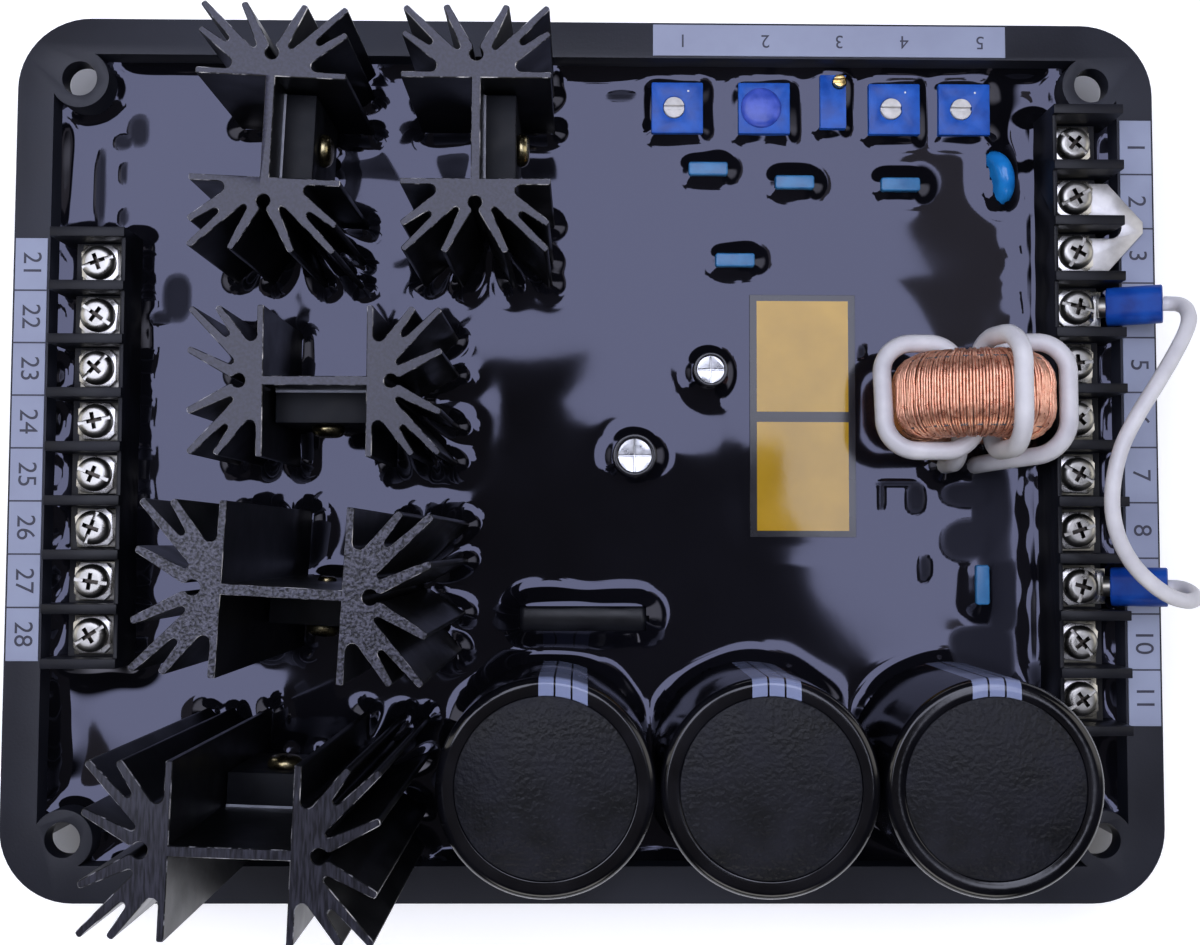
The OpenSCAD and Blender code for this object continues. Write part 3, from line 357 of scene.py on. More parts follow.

# Contact plates: strips of nickel-plated brass, pressed flat, one in each bay. Each way's screw goes
# through its plate and holds it on the block.
# Nickel on brass: bright and smooth, with painted shade that darkens the screws' recesses
metal = {"Metallic": 1.0}
nickel = surface("nickel_plated_brass", "#8f8d87", "#b3b1ab", 3, (0.26, 0.38), 0.25, 0.006, metal)
recess_shade = add(nickel.node_tree, "Attribute", {"attribute_name": "recess"})
overlay(nickel.node_tree, "Base Color", linear("#3b3733"), recess_shade.outputs["Fac"])
for side in ("left", "right"):
    softened(f"{side}_terminal_plates", 0.12, nickel)

# Clamp washers: square nickel-plated steel, stamped with clipped corners. They lie loose under each
# screw's head, on the contact plate or on a lug.
left_x, right_x, lug_thick = -86.7, 87.3, 0.8
# Each strip's place, middle, ways and pitch, and the ways with a lug under the washer
strips = {
    "left": (left_x, left_middle, 8, left_pitch, ()),
    "right": (right_x, right_middle, 11, right_pitch, (2, 3, 4, 9)),
}
washer_side, washer_thick, washer_foot = 6.6, 0.9, 22.3
washer_clip, washer_edge = 1.1, 0.22


def joined(pieces, name):
    """Those pieces as one object with that name."""
    bpy.ops.object.select_all(action="DESELECT")
    for piece in pieces:
        piece.select_set(True)
    bpy.context.view_layer.objects.active = pieces[0]
    bpy.ops.object.join()
    pieces[0].name = name
    return pieces[0]


def repeated(piece, name, places):
    """One object of copies of the piece at those places; the piece itself goes."""
    copies = []
    for place in places:
        copy = bpy.data.objects.new(name, piece.data.copy())
        copy.data.transform(place)
        bpy.context.collection.objects.link(copy)
        copies.append(copy)
    bpy.data.objects.remove(piece)
    return joined(copies, name)


def flat_box(name, x0, y0, x1, y1, z0, z1):
    """A flat box between two corners in mm."""
    bpy.ops.mesh.primitive_cube_add(
        size=1, location=((x0 + x1) / 2 * MM, (y0 + y1) / 2 * MM, (z0 + z1) / 2 * MM),
        scale=((x1 - x0) * MM, (y1 - y0) * MM, (z1 - z0) * MM),
    )
    bpy.ops.object.transform_apply()
    bpy.context.object.name = name
    return bpy.context.object


def washer():
    """A clipped square washer with its foot at the origin."""
    half = washer_side / 2
    piece = flat_box("washer", -half, -half, half, half, 0, washer_thick)
    bpy.ops.object.mode_set(mode="EDIT")
    bpy.ops.mesh.select_mode(type="EDGE")
    bpy.ops.mesh.select_all(action="DESELECT")
    shape = bmesh.from_edit_mesh(piece.data)
    for edge in shape.edges:
        a, b = edge.verts
        edge.select_set(abs(a.co.z - b.co.z) > washer_thick / 2 * MM)
    bmesh.update_edit_mesh(piece.data)
    bpy.ops.mesh.bevel(offset=washer_clip * MM, segments=1, affect="EDGES")
    pick(piece, lambda x, y, z: z > washer_thick - 0.01)
    bpy.ops.mesh.bevel(offset=washer_edge * MM, segments=2, affect="EDGES")
    bpy.ops.object.mode_set(mode="OBJECT")
    bpy.ops.object.shade_smooth_by_angle(angle=math.radians(30))
    return piece


def way_y(way, middle, ways, pitch):
    """Where that way of a strip lies, counted from the rear."""
    return middle + ((ways + 1) / 2 - way) * pitch


def way_places(x, middle, ways, pitch, lifted, turns, base):
    """Places of a strip's ways, lifted where a lug lies under them, each turned by its own angle."""
    places = []
    for way in range(1, ways + 1):
        z = base + (lug_thick if way in lifted else 0)
        place = Matrix.Translation(Vector((x, way_y(way, middle, ways, pitch), z)) * MM)
        places.append(place @ Matrix.Rotation(math.radians(turns[way - 1]), 4, "Z"))
    return places


# Nickel on pressed steel: a little duller than the contact plates
nickel_steel = surface("nickel_plated_steel", "#a9a7a2", "#d8d6d2", 2, (0.2, 0.36), 0.2, 0.008, metal)
twist = (3, -4, 2, 0, -3, 5, -2, 1, 4, -5, 2)
for side, strip in strips.items():
    washers = repeated(washer(), f"{side}_washers", way_places(*strip, twist, washer_foot))
    stand_in(washers, [f"{side}_terminal_washers"], nickel_steel)

# Terminal screws: nickel-plated pan heads with a cross recess and one longer slot, each left turned
# as it was driven. They hold the washers down.
screw_seat = washer_foot + washer_thick
head_r, head_h, head_round = 3, 1.9, 1.15
cross, cross_taper, slot = (3.5, 0.85, 2.6), 0.7, (7, 0.62, 1.3)
# Painted shade in the recess: its reach from the screw's middle and the height below which it is darkened,
# in mm
recess_shade_r, recess_shade_top = 1.9, 1.75


def cut_box(piece, size, middle, turn, taper):
    """Cuts a box that narrows downwards out of the piece; sizes in mm."""
    bpy.ops.mesh.primitive_cube_add(size=1)
    tool = bpy.context.object
    bpy.ops.object.mode_set(mode="EDIT")
    bpy.ops.transform.resize(value=[s * MM for s in size])
    bpy.ops.object.mode_set(mode="OBJECT")
    pick(tool, lambda x, y, z: z < 0)
    bpy.ops.transform.resize(value=(taper, taper, 1), center_override=(0, 0, 0))
    bpy.ops.object.mode_set(mode="OBJECT")
    tool.data.transform(Matrix.Translation(Vector(middle) * MM) @ Matrix.Rotation(turn, 4, "Z"))
    only(piece)
    hollow = piece.modifiers.new("hollow", "BOOLEAN")
    hollow.operation = "DIFFERENCE"
    hollow.solver = "EXACT"
    hollow.object = tool
    bpy.ops.object.modifier_apply(modifier="hollow")
    bpy.data.objects.remove(tool)


def screw():
    """A pan-head screw with its seat at the origin."""
    bpy.ops.mesh.primitive_cylinder_add(
        vertices=40, radius=head_r * MM, depth=head_h * MM, location=(0, 0, head_h / 2 * MM)
    )
    bpy.ops.object.transform_apply()
    piece = bpy.context.object
    pick(piece, lambda x, y, z: z > head_h - 0.1)
    bpy.ops.mesh.bevel(offset=head_round * MM, segments=6, affect="EDGES")
    bpy.ops.object.mode_set(mode="OBJECT")
    cut_box(piece, cross, (0, 0, head_h), 0, cross_taper)
    cut_box(piece, cross, (0, 0, head_h), math.pi / 2, cross_taper)
    cut_box(piece, slot, (0, 0, head_h), 0, 1)
    only(piece)
    # Painted shade: the faces in and round the cross recess are marked, so the nickel is painted darker
    # there
    recess = piece.data.attributes.new("recess", "FLOAT", "FACE")
    for face in piece.data.polygons:
        x, y, z = face.center / MM
        lean = abs(face.normal.z) < 0.5 and face.normal.dot(Vector((x, y, 0))) < 0
        recess.data[face.index].value = math.hypot(x, y) < recess_shade_r and (lean or z < recess_shade_top)
    bpy.ops.object.shade_smooth_by_angle(angle=math.radians(28))
    return piece


driven = {
    "left": (20, -35, 48, 12, -22, 70, -8, 33),
    "right": (-40, 28, 62, -15, 5, 44, -30, 18, 75, -52, 36),
}
for side, strip in strips.items():
    screws = repeated(screw(), f"{side}_screws", way_places(*strip, driven[side], screw_seat))
    stand_in(screws, [f"{side}_terminal_screws"], nickel)

# Heat sinks: black anodised aluminium extrusions, sawn to length, with satin tops and bare nicks along
# the sawn edges. Each stands on two solder pins in the board.


def sink_metal(name, top, top_rough, grit, depth, stretch):
    """Anodised sides under a sawn top of two colours, with a grit that the saw may draw out."""
    made = surface(name, "#07080a", "#0e0f13", 8, (0.3, 0.42), 0.4, 0.01, {"Specular IOR Level": 0.35})
    tree = made.node_tree
    shader = tree.nodes["Principled BSDF"]
    coords = add(tree, "TexCoord")
    facing = add(tree, "SeparateXYZ", links={0: coords.outputs["Normal"]})
    sawn = add(tree, "MapRange", {"From Min": 0.9, "From Max": 0.98}, {"Value": facing.outputs[2]})
    lain = add(
        tree, "Mapping", {"Rotation": (0, 0, math.radians(35)), "Scale": (1, stretch, 1)},
        {"Vector": coords.outputs["Object"]},
    )
    grains = add(tree, "TexNoise", {"Scale": 1 / (grit * MM), "Detail": 2.0}, {"Vector": lain})
    level = add(tree, "MapRange", {"From Min": 0.38, "From Max": 0.62}, {"Value": grains})
    cut = add(tree, "Mix", {"data_type": "RGBA", 6: linear(top[0]), 7: linear(top[1])}, {0: level})
    sides = shader.inputs["Base Color"].links[0].from_socket
    tint = add(tree, "Mix", {"data_type": "RGBA"}, {0: sawn, 6: sides, 7: cut.outputs[2]})
    tree.links.new(tint.outputs[2], shader.inputs["Base Color"])
    overlay(tree, "Roughness", top_rough, sawn)
    # the rounded edges, by their slope, are rubbed bare in places
    above = add(tree, "Math", {"operation": "GREATER_THAN", 1: 0.45}, {0: facing.outputs[2]})
    below = add(tree, "Math", {"operation": "LESS_THAN", 1: 0.88}, {0: facing.outputs[2]})
    edge = add(tree, "Math", {"operation": "MULTIPLY"}, {0: above, 1: below})
    patch = {"Scale": 1 / (3 * MM), "Detail": 4.0}
    worn = add(tree, "TexNoise", patch, {"Vector": coords.outputs["Object"]})
    bare = add(tree, "MapRange", {"From Min": 0.5, "From Max": 0.62}, {"Value": worn})
    nick = add(tree, "Math", {"operation": "MULTIPLY"}, {0: edge, 1: bare})
    overlay(tree, "Base Color", linear("#c4c4cb"), nick)
    tree.links.new(nick.outputs[0], shader.inputs["Metallic"])
    relief = add(tree, "Math", {"operation": "MULTIPLY"}, {0: grains, 1: sawn})
    bump = add(
        tree, "Bump", {"Distance": depth * MM},
        {"Height": relief, "Normal": shader.inputs["Normal"].links[0].from_socket},
    )
    tree.links.new(bump.outputs[0], shader.inputs["Normal"])
    return made


# Short sinks: a fine, even sawn face that takes the soft box as a pale sheen
fine_sawn = sink_metal("fine_sawn_black_anodise", ("#1a1a28", "#2a2a3c"), 0.24, 0.5, 0.004, 1)
# Fourth sink: a coarse torn face that glitters; fifth: a dark face with slanting saw lines
torn_sawn = sink_metal("torn_sawn_black_anodise", ("#0c0c11", "#4a4a57"), 0.3, 0.42, 0.11, 1)
line_sawn = sink_metal("line_sawn_black_anodise", ("#15151b", "#2f2f39"), 0.3, 0.35, 0.03, 0.12)
for number, made in enumerate((fine_sawn, fine_sawn, fine_sawn, torn_sawn, line_sawn), start=1):
    softened(f"heat_sink_{number}", 0.12, made, segments=1)
# Tinned wire: pale metal with a soft shine
pin_tin = surface("tinned_pin_wire", "#a9a7a0", "#c9c7c0", 2, (0.3, 0.45), 0.3, 0.01, metal)
dress(frame["nodes"]["heat_sink_pins"], pin_tin)

# Power devices: large three-leg packages moulded in black epoxy. Each lies flat on a pad against its
# sink's web, where one screw holds it.
# Device epoxy: dull black with a fine moulded grain
device_black = surface(
    "moulded_device_epoxy", "#0b0c10", "#13151a", 4, (0.45, 0.6), 0.3, 0.015, {"Specular IOR Level": 0.2}
)
for number in range(1, 6):
    softened(f"power_device_{number}", 0.2, device_black)

# Insulating pads: thin sheets of grey silicone, cut a little larger than the device. One is clamped
# between each device and its sink.
# Silicone sheet: flat mid grey with hardly any shine
silicone = surface("grey_silicone_pad", "#8d8f99", "#a5a7b0", 3, (0.5, 0.65), 0.3, 0.008)
softened("insulating_pads", 0.05, silicone, segments=1)

# Device screws: zinc-plated steel pan heads with a yellow passivation. One is driven through each
# device into its sink's web.
# Passivated zinc: a soft metal shine with a straw tint that comes and goes
yellow_zinc = surface("yellow_passivated_zinc", "#7d7152", "#b8ad86", 2.5, (0.2, 0.32), 0.2, 0.008, metal)
softened("device_screws", 0.6, yellow_zinc, segments=4)

# Filter capacitors: aluminium cans in black shrink sleeve that wraps over the top edge, with a pale
# polarity stripe. They stand on the board along the front wall.
cap_xs, cap_y, cap_r, cap_foot, cap_top = (-6.3, 29.4, 65.1), -54.25, 17.5, 8, 48
lip_width, lip_depth, lip_round, shoulder_round = 3, 0.6, 0.25, 1.4
lip_r = cap_r - lip_width
stripe_half, bar_gap_at, bar_gap_half = 3.9, 1.35, 0.16


def sleeve_pvc(name, x, y):
    """Black sleeve with three bars behind that place in mm."""
    made = surface(name, "#08080b", "#101015", 9, (0.1, 0.18), 2.5, 0.02)
    tree = made.node_tree
    split = add(tree, "SeparateXYZ", links={0: add(tree, "TexCoord").outputs["Object"]})
    off = add(tree, "Math", {"operation": "SUBTRACT", 1: x * MM}, {0: split})
    aside = add(tree, "Math", {"operation": "ABSOLUTE"}, {0: off})
    inside = add(tree, "Math", {"operation": "LESS_THAN", 1: stripe_half * MM}, {0: aside})
    behind = add(tree, "Math", {"operation": "GREATER_THAN", 1: y * MM}, {0: split.outputs[1]})
    stripe = add(tree, "Math", {"operation": "MULTIPLY"}, {0: inside, 1: behind})
    gap = add(tree, "Math", {"operation": "COMPARE", 1: bar_gap_at * MM, 2: bar_gap_half * MM}, {0: aside})
    bars = add(tree, "Math", {"operation": "SUBTRACT", "use_clamp": True}, {0: stripe, 1: gap})
    overlay(tree, "Base Color", linear("#7f88a6"), bars)
    return made


for number, (x, bar_shift) in enumerate(zip(cap_xs, (2.7, 0.9, 0.2)), start=1):
    bpy.ops.mesh.primitive_cylinder_add(
        vertices=128, radius=cap_r * MM, depth=(cap_top - cap_foot) * MM,
        location=(x * MM, cap_y * MM, (cap_top + cap_foot) / 2 * MM),
    )
    bpy.ops.object.transform_apply()
    can = bpy.context.object
    can.name = f"filter_capacitor_{number}_sleeve"
    pick(can, lambda px, py, z: z > cap_top - 0.1)
    bpy.ops.mesh.inset(thickness=lip_width * MM, depth=0)
    bpy.ops.mesh.extrude_region_move(TRANSFORM_OT_translate={"value": (0, 0, -lip_depth * MM)})
    pick(can, lambda px, py, z: z > cap_top - 0.1 and math.hypot(px - x, py - cap_y) > cap_r - 0.5)
    bpy.ops.mesh.bevel(offset=shoulder_round * MM, segments=7, affect="EDGES")
    pick(can, lambda px, py, z: z > cap_top - 0.1 and math.hypot(px - x, py - cap_y) < lip_r + 0.1)
    bpy.ops.mesh.bevel(offset=lip_round * MM, segments=2, affect="EDGES")
    bpy.ops.object.mode_set(mode="OBJECT")
    bpy.ops.object.shade_smooth_by_angle(angle=math.radians(35))
    # Shrink sleeve: thin glossy PVC, drawn tight, with lavender bars towards the back of each can
    sleeve = sleeve_pvc(f"black_shrink_pvc_{number}", x + bar_shift, cap_y)
    stand_in(can, [f"filter_capacitor_{number}"], sleeve)
# Fibre disc: matte black board with a pebbled leather-like press
fibre = surface(
    "pebbled_black_fibre", "#0e0f13", "#161720", 6, (0.42, 0.55), 0.9, 0.3, {"Specular IOR Level": 0.28}
)
softened("capacitor_end_discs", 0.15, fibre)

# Small capacitors: bare aluminium cans scored across the top, in thin black sleeve whose lip is
# shrunk inwards over the can's end. They are soldered to the board.
lip_openings, lip_squash, lip_sink = (2.45, 3), 0.35, 0.05
# Bare aluminium: bright, with a fine soft grain
can_metal = surface("brushed_can_aluminium", "#b9babd", "#e3e4e6", 1.5, (0.25, 0.38), 0.15, 0.006, metal)
# Thin PVC sleeve: black and glossy
small_sleeve = surface("small_black_shrink_pvc", "#0d0d11", "#17171d", 4, (0.15, 0.22), 1.5, 0.01)
for number, opening in enumerate(lip_openings, start=1):
    softened(f"small_capacitor_can_{number}", 0.2, can_metal)
    softened(f"small_capacitor_sleeve_{number}", 0.12, small_sleeve)
    tube = frame["nodes"][f"small_capacitor_sleeve_{number}"]
    low, high = Vector(tube.bound_box[0]) / MM, Vector(tube.bound_box[6]) / MM
    outer = (high.x - low.x) / 2
    bpy.ops.mesh.primitive_torus_add(
        major_segments=48, minor_segments=10, major_radius=(outer + opening) / 2 * MM,
        minor_radius=(outer - opening) / 2 * MM,
    )
    lip = bpy.context.object
    lip.name = f"small_capacitor_lip_{number}"
    bpy.ops.object.mode_set(mode="EDIT")
    bpy.ops.mesh.select_all(action="SELECT")
    bpy.ops.transform.resize(value=(1, 1, lip_squash))
    bpy.ops.object.mode_set(mode="OBJECT")
    end = Vector(((low.x + high.x) / 2, (low.y + high.y) / 2, high.z - lip_sink))
    lip.data.transform(Matrix.Translation(end * MM))
    bpy.ops.object.shade_smooth()
    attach(lip, tube["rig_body"])
    dress(lip, small_sleeve)

# Film capacitors: slim blocks dipped in blue epoxy. They are soldered to the board and stand half
# drowned in the resin.
# Dipped epoxy: clear mid blue with a soft gloss
blue_dip = surface("blue_dipped_epoxy", "#266190", "#3576a6", 3, (0.3, 0.4), 0.5, 0.015)
for number in range(1, 6):
    softened(f"film_capacitor_{number}", 0.3, blue_dip, segments=3)

# Disc capacitor: a ceramic disc dipped in bright blue lacquer. It leans over on its legs, as it was
# soldered.
# Disc lacquer: strong sky blue, glossy and slightly wavy
disc_lacquer = surface("blue_disc_lacquer", "#1672bb", "#2488d2", 4, (0.16, 0.24), 1.2, 0.03)
softened("disc_capacitor", 0.25, disc_lacquer, segments=3, sharp=50)

# Axial resistor: a ceramic barrel with a black coat, soldered at both ends. It lies half sunk in the
# resin, behind the filter capacitors.
# Resistor coat: smooth black paint with a satin shine
coat = surface(
    "black_resistor_coat", "#0c0c10", "#16171b", 5, (0.3, 0.4), 1.2, 0.02, {"Specular IOR Level": 0.3}
)
softened("axial_resistor", 0.6, coat, segments=3, sharp=25)

# Trimmers: square blue plastic potentiometers with a white slotted rotor sunk in the top; the second
# one is sealed with blue lacquer. The narrow multi-turn one has a brass screw in a corner. All are
# soldered to the board.
# Painted glint dot: its radius, squash, offset right and back from the trimmer's middle, and height, in mm
glint_dot_r, glint_dot_squash, glint_dot_right, glint_dot_back, glint_dot_z = 0.2, 0.4, 2, 3.1, 18
# Trimmer plastic: deep blue and smooth, with a satin shine
trimmer_blue = surface(
    "blue_trimmer_plastic", "#154598", "#1f5bb8", 3, (0.34, 0.46), 0.4, 0.015, {"Specular IOR Level": 0.3}
)
for number in range(1, 5):
    softened(f"trimmer_body_{number}", 0.25, trimmer_blue)
softened("multiturn_trimmer_body", 0.2, trimmer_blue)
# Painted glint: a tiny white dot beside the rotor, which stands for the highlight on a small dimple in
# each open trimmer's top
glint_white = surface("painted_glint_white", "#dcdcd8", "#efefec", 0.5, (0.3, 0.4), 0.2, 0.004)
for number in (1, 3, 4):
    body = frame["nodes"][f"trimmer_body_{number}"]
    middle = sum((Vector(c) for c in body.bound_box), Vector()) / 8 / MM
    bpy.ops.mesh.primitive_uv_sphere_add(segments=12, ring_count=6, radius=glint_dot_r * MM)
    glint_dot = bpy.context.object
    glint_dot.name = f"trimmer_painted_glint_{number}"
    bpy.ops.object.mode_set(mode="EDIT")
    bpy.ops.transform.resize(value=(1, 1, glint_dot_squash))
    bpy.ops.object.mode_set(mode="OBJECT")
    spot = Vector((middle.x + glint_dot_right, middle.y + glint_dot_back, glint_dot_z))
    glint_dot.data.transform(Matrix.Translation(spot * MM))
    bpy.ops.object.shade_smooth()
    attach(glint_dot, body["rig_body"])
    dress(glint_dot, glint_white)
# Nylon: milky off-white with a soft shine
nylon = surface("white_nylon", "#c2bfb9", "#d8d5d0", 1.5, (0.35, 0.48), 0.3, 0.01)
for number in range(1, 5):
    softened(f"trimmer_rotor_{number}", 0.1, nylon)
# Seal lacquer: violet blue, dabbed on unevenly
lacquer = surface("blue_seal_lacquer", "#2b45a4", "#4a5fc2", 2.2, (0.3, 0.45), 1, 0.04)
softened("trimmer_seal", 0.2, lacquer, segments=3)
# Turned brass: warm yellow metal with a fine turned grain
brass = surface("turned_brass", "#ab8d4d", "#dcc489", 1, (0.2, 0.32), 0.15, 0.006, metal)
softened("multiturn_trimmer_screw", 0.12, brass)

# Current transformer: a ferrite ring closely wound with enamelled copper wire, standing on edge in
# the resin, with a white insulated lead passed through it three times.
# Ferrite: dull dark grey, sintered
ferrite = surface("grey_ferrite", "#39393d", "#4b4b50", 2, (0.5, 0.65), 0.4, 0.02)
dress(frame["nodes"]["transformer_core"], ferrite)


def wire(name, path, thick, sides):
    """A round wire along points in mm, as a curve."""
    data = bpy.data.curves.new(name, "CURVE")
    data.dimensions = "3D"
    data.bevel_depth = 1
    data.bevel_resolution = sides
    data.use_fill_caps = True
    line = data.splines.new("POLY")
    line.points.add(len(path) - 1)
    for point, spot in zip(line.points, path):
        point.co = (spot[0] * MM, spot[1] * MM, spot[2] * MM, 1)
        point.radius = thick / 2 * MM
    line.use_smooth = True
    piece = bpy.data.objects.new(name, data)
    bpy.context.collection.objects.link(piece)
    return only(piece)


# One turn's section round the ring, as radius and depth, with rounded corners
ring = Vector((67.3, 10, 29))
ring_in, ring_out, ring_half, outer_round, inner_round = 5.75, 13.52, 7.22, 5, 2.7
corner_steps = 6
loop = []
for middle_r, middle_y, bend, start in (
    (ring_out - outer_round, ring_half - outer_round, outer_round, 0),
    (ring_in + inner_round, ring_half - inner_round, inner_round, 90),
    (ring_in + inner_round, inner_round - ring_half, inner_round, 180),
    (ring_out - outer_round, outer_round - ring_half, outer_round, 270),
):
    for step in range(corner_steps):
        angle = math.radians(start + 90 * step / (corner_steps - 1))
        loop.append((middle_r + bend * math.cos(angle), middle_y + bend * math.sin(angle)))
# The turns lie unevenly outside, and in three layers where they crowd in the bore
winding_turns, winding_wire, outer_from, layers, layer_rise, sway = 158, 0.5, 8.5, 3, 0.9, 2.2
slack_spread, lifts = 0.11, (-0.12, 0.22)
winding_random = np.random.default_rng(11)
winding_path = []
for turn in range(winding_turns):
    slack = winding_random.normal(0, slack_spread)
    lift = winding_random.uniform(*lifts)
    layer = layer_rise * ((turn % layers) / (layers - 1))
    for k, (r, y) in enumerate(loop):
        part = k / len(loop)
        angle = math.tau * (turn + part) / winding_turns
        angle += math.radians(slack * sway * math.sin(math.tau * part))
        deep = r + (lift if r > outer_from else layer * (ring_out - r) / ring_out)
        off = Vector((deep * math.cos(angle), y + lift * (y / ring_half), deep * math.sin(angle)))
        winding_path.append(ring + off)
wire("transformer_winding_wire", winding_path, winding_wire, 1)
bpy.ops.object.convert(target="MESH")
winding = bpy.context.object
bpy.ops.object.shade_smooth_by_angle(angle=math.radians(70))
# Enamelled copper: bright wire under clear varnish, a little darker from turn to turn
copper = surface(
    "enamelled_copper", "#d69377", "#f8c1a3", 0.8, (0.26, 0.4), 0.2, 0.004, {"Metallic": 0.8}
)
stand_in(winding, ["transformer_winding"], copper)

# The lead's corners from the ring's middle: its flanks, faces and tails, its two levels and its foot
flank, face, tail, low, high, foot = 15.85, 9.55, 11.15, -1.1, 2.6, -21
lead_thick, flank_bend, lead_bend, bend_steps = 3.2, 8.6, 5.5, 12
lead_corners = [
    Vector(c) for c in (
        (-1.9, -tail, foot), (-1.9, -tail, low), (-1.9, face, low), (-flank, face, low),
        (-flank, -face, high), (0, -face, high), (0, face, high), (3.9, face, flank), (3.9, -face, flank),
        (3.3, -face, low), (3.3, face, low), (flank, face, high), (flank, -face, high),
        (3.6, -tail, -5), (3.6, -tail, foot),
    )
]
lead_path = [lead_corners[0]]
for before, corner, after in zip(lead_corners, lead_corners[1:], lead_corners[2:]):
    bend = flank_bend if abs(corner.x) == flank else lead_bend
    a = corner + (before - corner).normalized() * bend
    c = corner + (after - corner).normalized() * bend
    for step in range(bend_steps + 1):
        t = step / bend_steps
        pull = math.sqrt(2) * t * (1 - t)
        lead_path.append((a * (1 - t) ** 2 + corner * pull + c * t**2) / ((1 - t) ** 2 + pull + t**2))
lead_path.append(lead_corners[-1])
wire("transformer_lead_wire", [ring + p for p in lead_path], lead_thick, 4)
bpy.ops.object.convert(target="MESH")
lead = bpy.context.object
bpy.ops.object.shade_smooth_by_angle(angle=math.radians(60))
# White PVC insulation: soft and even, with slight grey handling marks
white_pvc = surface("white_pvc", "#c3c1c3", "#dad8d8", 7, (0.32, 0.45), 0.6, 0.02)
stand_in(lead, ["transformer_lead"], white_pvc)

# Link plate: a thin tinned brass plate between the second and third right-hand terminals, held under
# their washers.
# Dull tin: pale grey plate that scatters the light
tin = surface("dull_tinned_brass", "#b9b7b6", "#dad8d6", 4, (0.38, 0.5), 0.3, 0.012, {"Metallic": 0.7})
softened("link_plate", 0.12, tin)

# Jumper: a short white wire with a fork lug and a blue crimp sleeve at each end, between the fourth
# and ninth right-hand terminals, bowed up over the strip.
jumper_thick, jumper_steps = 2.6, 5
# Tinned copper: brighter than the link plate
jumper_tin = surface("tinned_lug_copper", "#b3b2ad", "#d5d4cf", 3, (0.25, 0.38), 0.25, 0.01, metal)
lugs_piece = softened("jumper_terminals", 0.1, jumper_tin)
# Vinyl sleeve: deep blue, soft and only faintly glossy
vinyl = surface(
    "blue_vinyl", "#0a317e", "#12479c", 4, (0.35, 0.48), 0.7, 0.03, {"Specular IOR Level": 0.15}
)
sleeves_piece = softened("jumper_sleeves", 0.3, vinyl, segments=3)
# Way along the wire from the fourth terminal to the ninth: out of the strip, in pitches along it, up
strip_top = Vector((right_x, right_middle, washer_foot))
bow = (
    (13.6, 2, 6.8), (14.7, 1.99, 7.4), (15.5, 1.96, 8.5), (15.9, 1.89, 9.9), (15.7, 1.78, 11.6),
    (15.1, 1.62, 13.5), (13.9, 1.42, 15.3), (12.2, 1.17, 16.8), (9.9, 0.83, 18), (7, 0.4, 18.9),
    (3.9, -0.06, 19.4), (1.1, -0.57, 19.7), (-0.5, -1.09, 19.9), (-0.9, -1.62, 19.7), (0.1, -2.12, 19.4),
    (2.5, -2.57, 19.1), (5.9, -2.91, 18.6), (9.3, -3.12, 17.8), (12.2, -3.2, 16.6), (14, -3.2, 15.2),
    (15.2, -3.17, 13.5), (15.8, -3.12, 11.6), (15.9, -3.06, 9.9), (15.5, -3.02, 8.5), (14.7, -3, 7.4),
    (13.6, -3, 6.8),
)
route = [strip_top + Vector((x, y * right_pitch, z)) for x, y, z in bow]
jumper_path = []
padded = [2 * route[0] - route[1]] + route + [2 * route[-1] - route[-2]]
for p0, p1, p2, p3 in zip(padded, padded[1:], padded[2:], padded[3:]):
    for step in range(jumper_steps):
        t = step / jumper_steps
        jumper_path.append(
            0.5 * (2 * p1 + (p2 - p0) * t + (2 * p0 - 5 * p1 + 4 * p2 - p3) * t**2
                   + (3 * p1 - p0 - 3 * p2 + p3) * t**3)
        )
jumper_path.append(route[-1])
jumper = wire("jumper_wire_bowed", jumper_path, jumper_thick, 4)
stand_in(jumper, ["jumper_wire"], white_pvc)

# Rim labels: grey-lavender polyester films stuck on the rim, printed with plain numbers and a line
# between terminals.
label_inner, label_outer, label_line = 96.4, 102.1, 0.3
figure_x, figure_size, figure_z, ink_half = 99.2, 4.6, 22.21, 0.02
line_foot, line_top = 22.19, 22.22
trimmer_xs, trimmer_figure_y, trimmer_figure_size = (17.2, 32.2, 45.6, 57.4, 71.2), 75.5, 3.4
# Label film: satin, pale grey with a lavender cast
label_film = surface("lavender_label_film", "#848aa0", "#9097ac", 15, (0.35, 0.45), 0.8, 0.006)
softened("rim_labels", 0.04, label_film, segments=1)


def printed(words, x, y, size, turn):
    """Raised ink letters, centred at that place on the rim's labels."""
    bpy.ops.object.text_add()
    letters = bpy.context.object
    letters.data.body = words
    letters.data.size = size * MM
    letters.data.extrude = ink_half * MM
    letters.data.align_x = letters.data.align_y = "CENTER"
    bpy.ops.object.convert(target="MESH")
    letters = bpy.context.object
    place = Matrix.Translation(Vector((x, y, figure_z)) * MM)
    letters.data.transform(place @ Matrix.Rotation(turn, 4, "Z"))
    return letters


prints = []
# Each strip's side of the rim, and the number that its own follow
for side, hand, passed in (("left", -1, 20), ("right", 1, 0)):
    _, middle, ways, pitch, _ = strips[side]
    x0, x1 = sorted((hand * label_inner, hand * label_outer))
    for way in range(1, ways + 1):
        y = way_y(way, middle, ways, pitch)
        prints.append(printed(str(passed + way), hand * figure_x, y, figure_size, -math.pi / 2))
        if way < ways:
            y0, y1 = y - (pitch + label_line) / 2, y - (pitch - label_line) / 2
            prints.append(flat_box("line", x0, y0, x1, y1, line_foot, line_top))
for number, x in enumerate(trimmer_xs, start=1):
    prints.append(printed(str(number), x, trimmer_figure_y, trimmer_figure_size, math.pi))
lettering = joined(prints, "rim_label_print")
bpy.ops.object.mode_set(mode="EDIT")
bpy.ops.mesh.select_all(action="SELECT")
bpy.ops.mesh.remove_doubles(threshold=0.001 * MM)
bpy.ops.mesh.normals_make_consistent(inside=False)
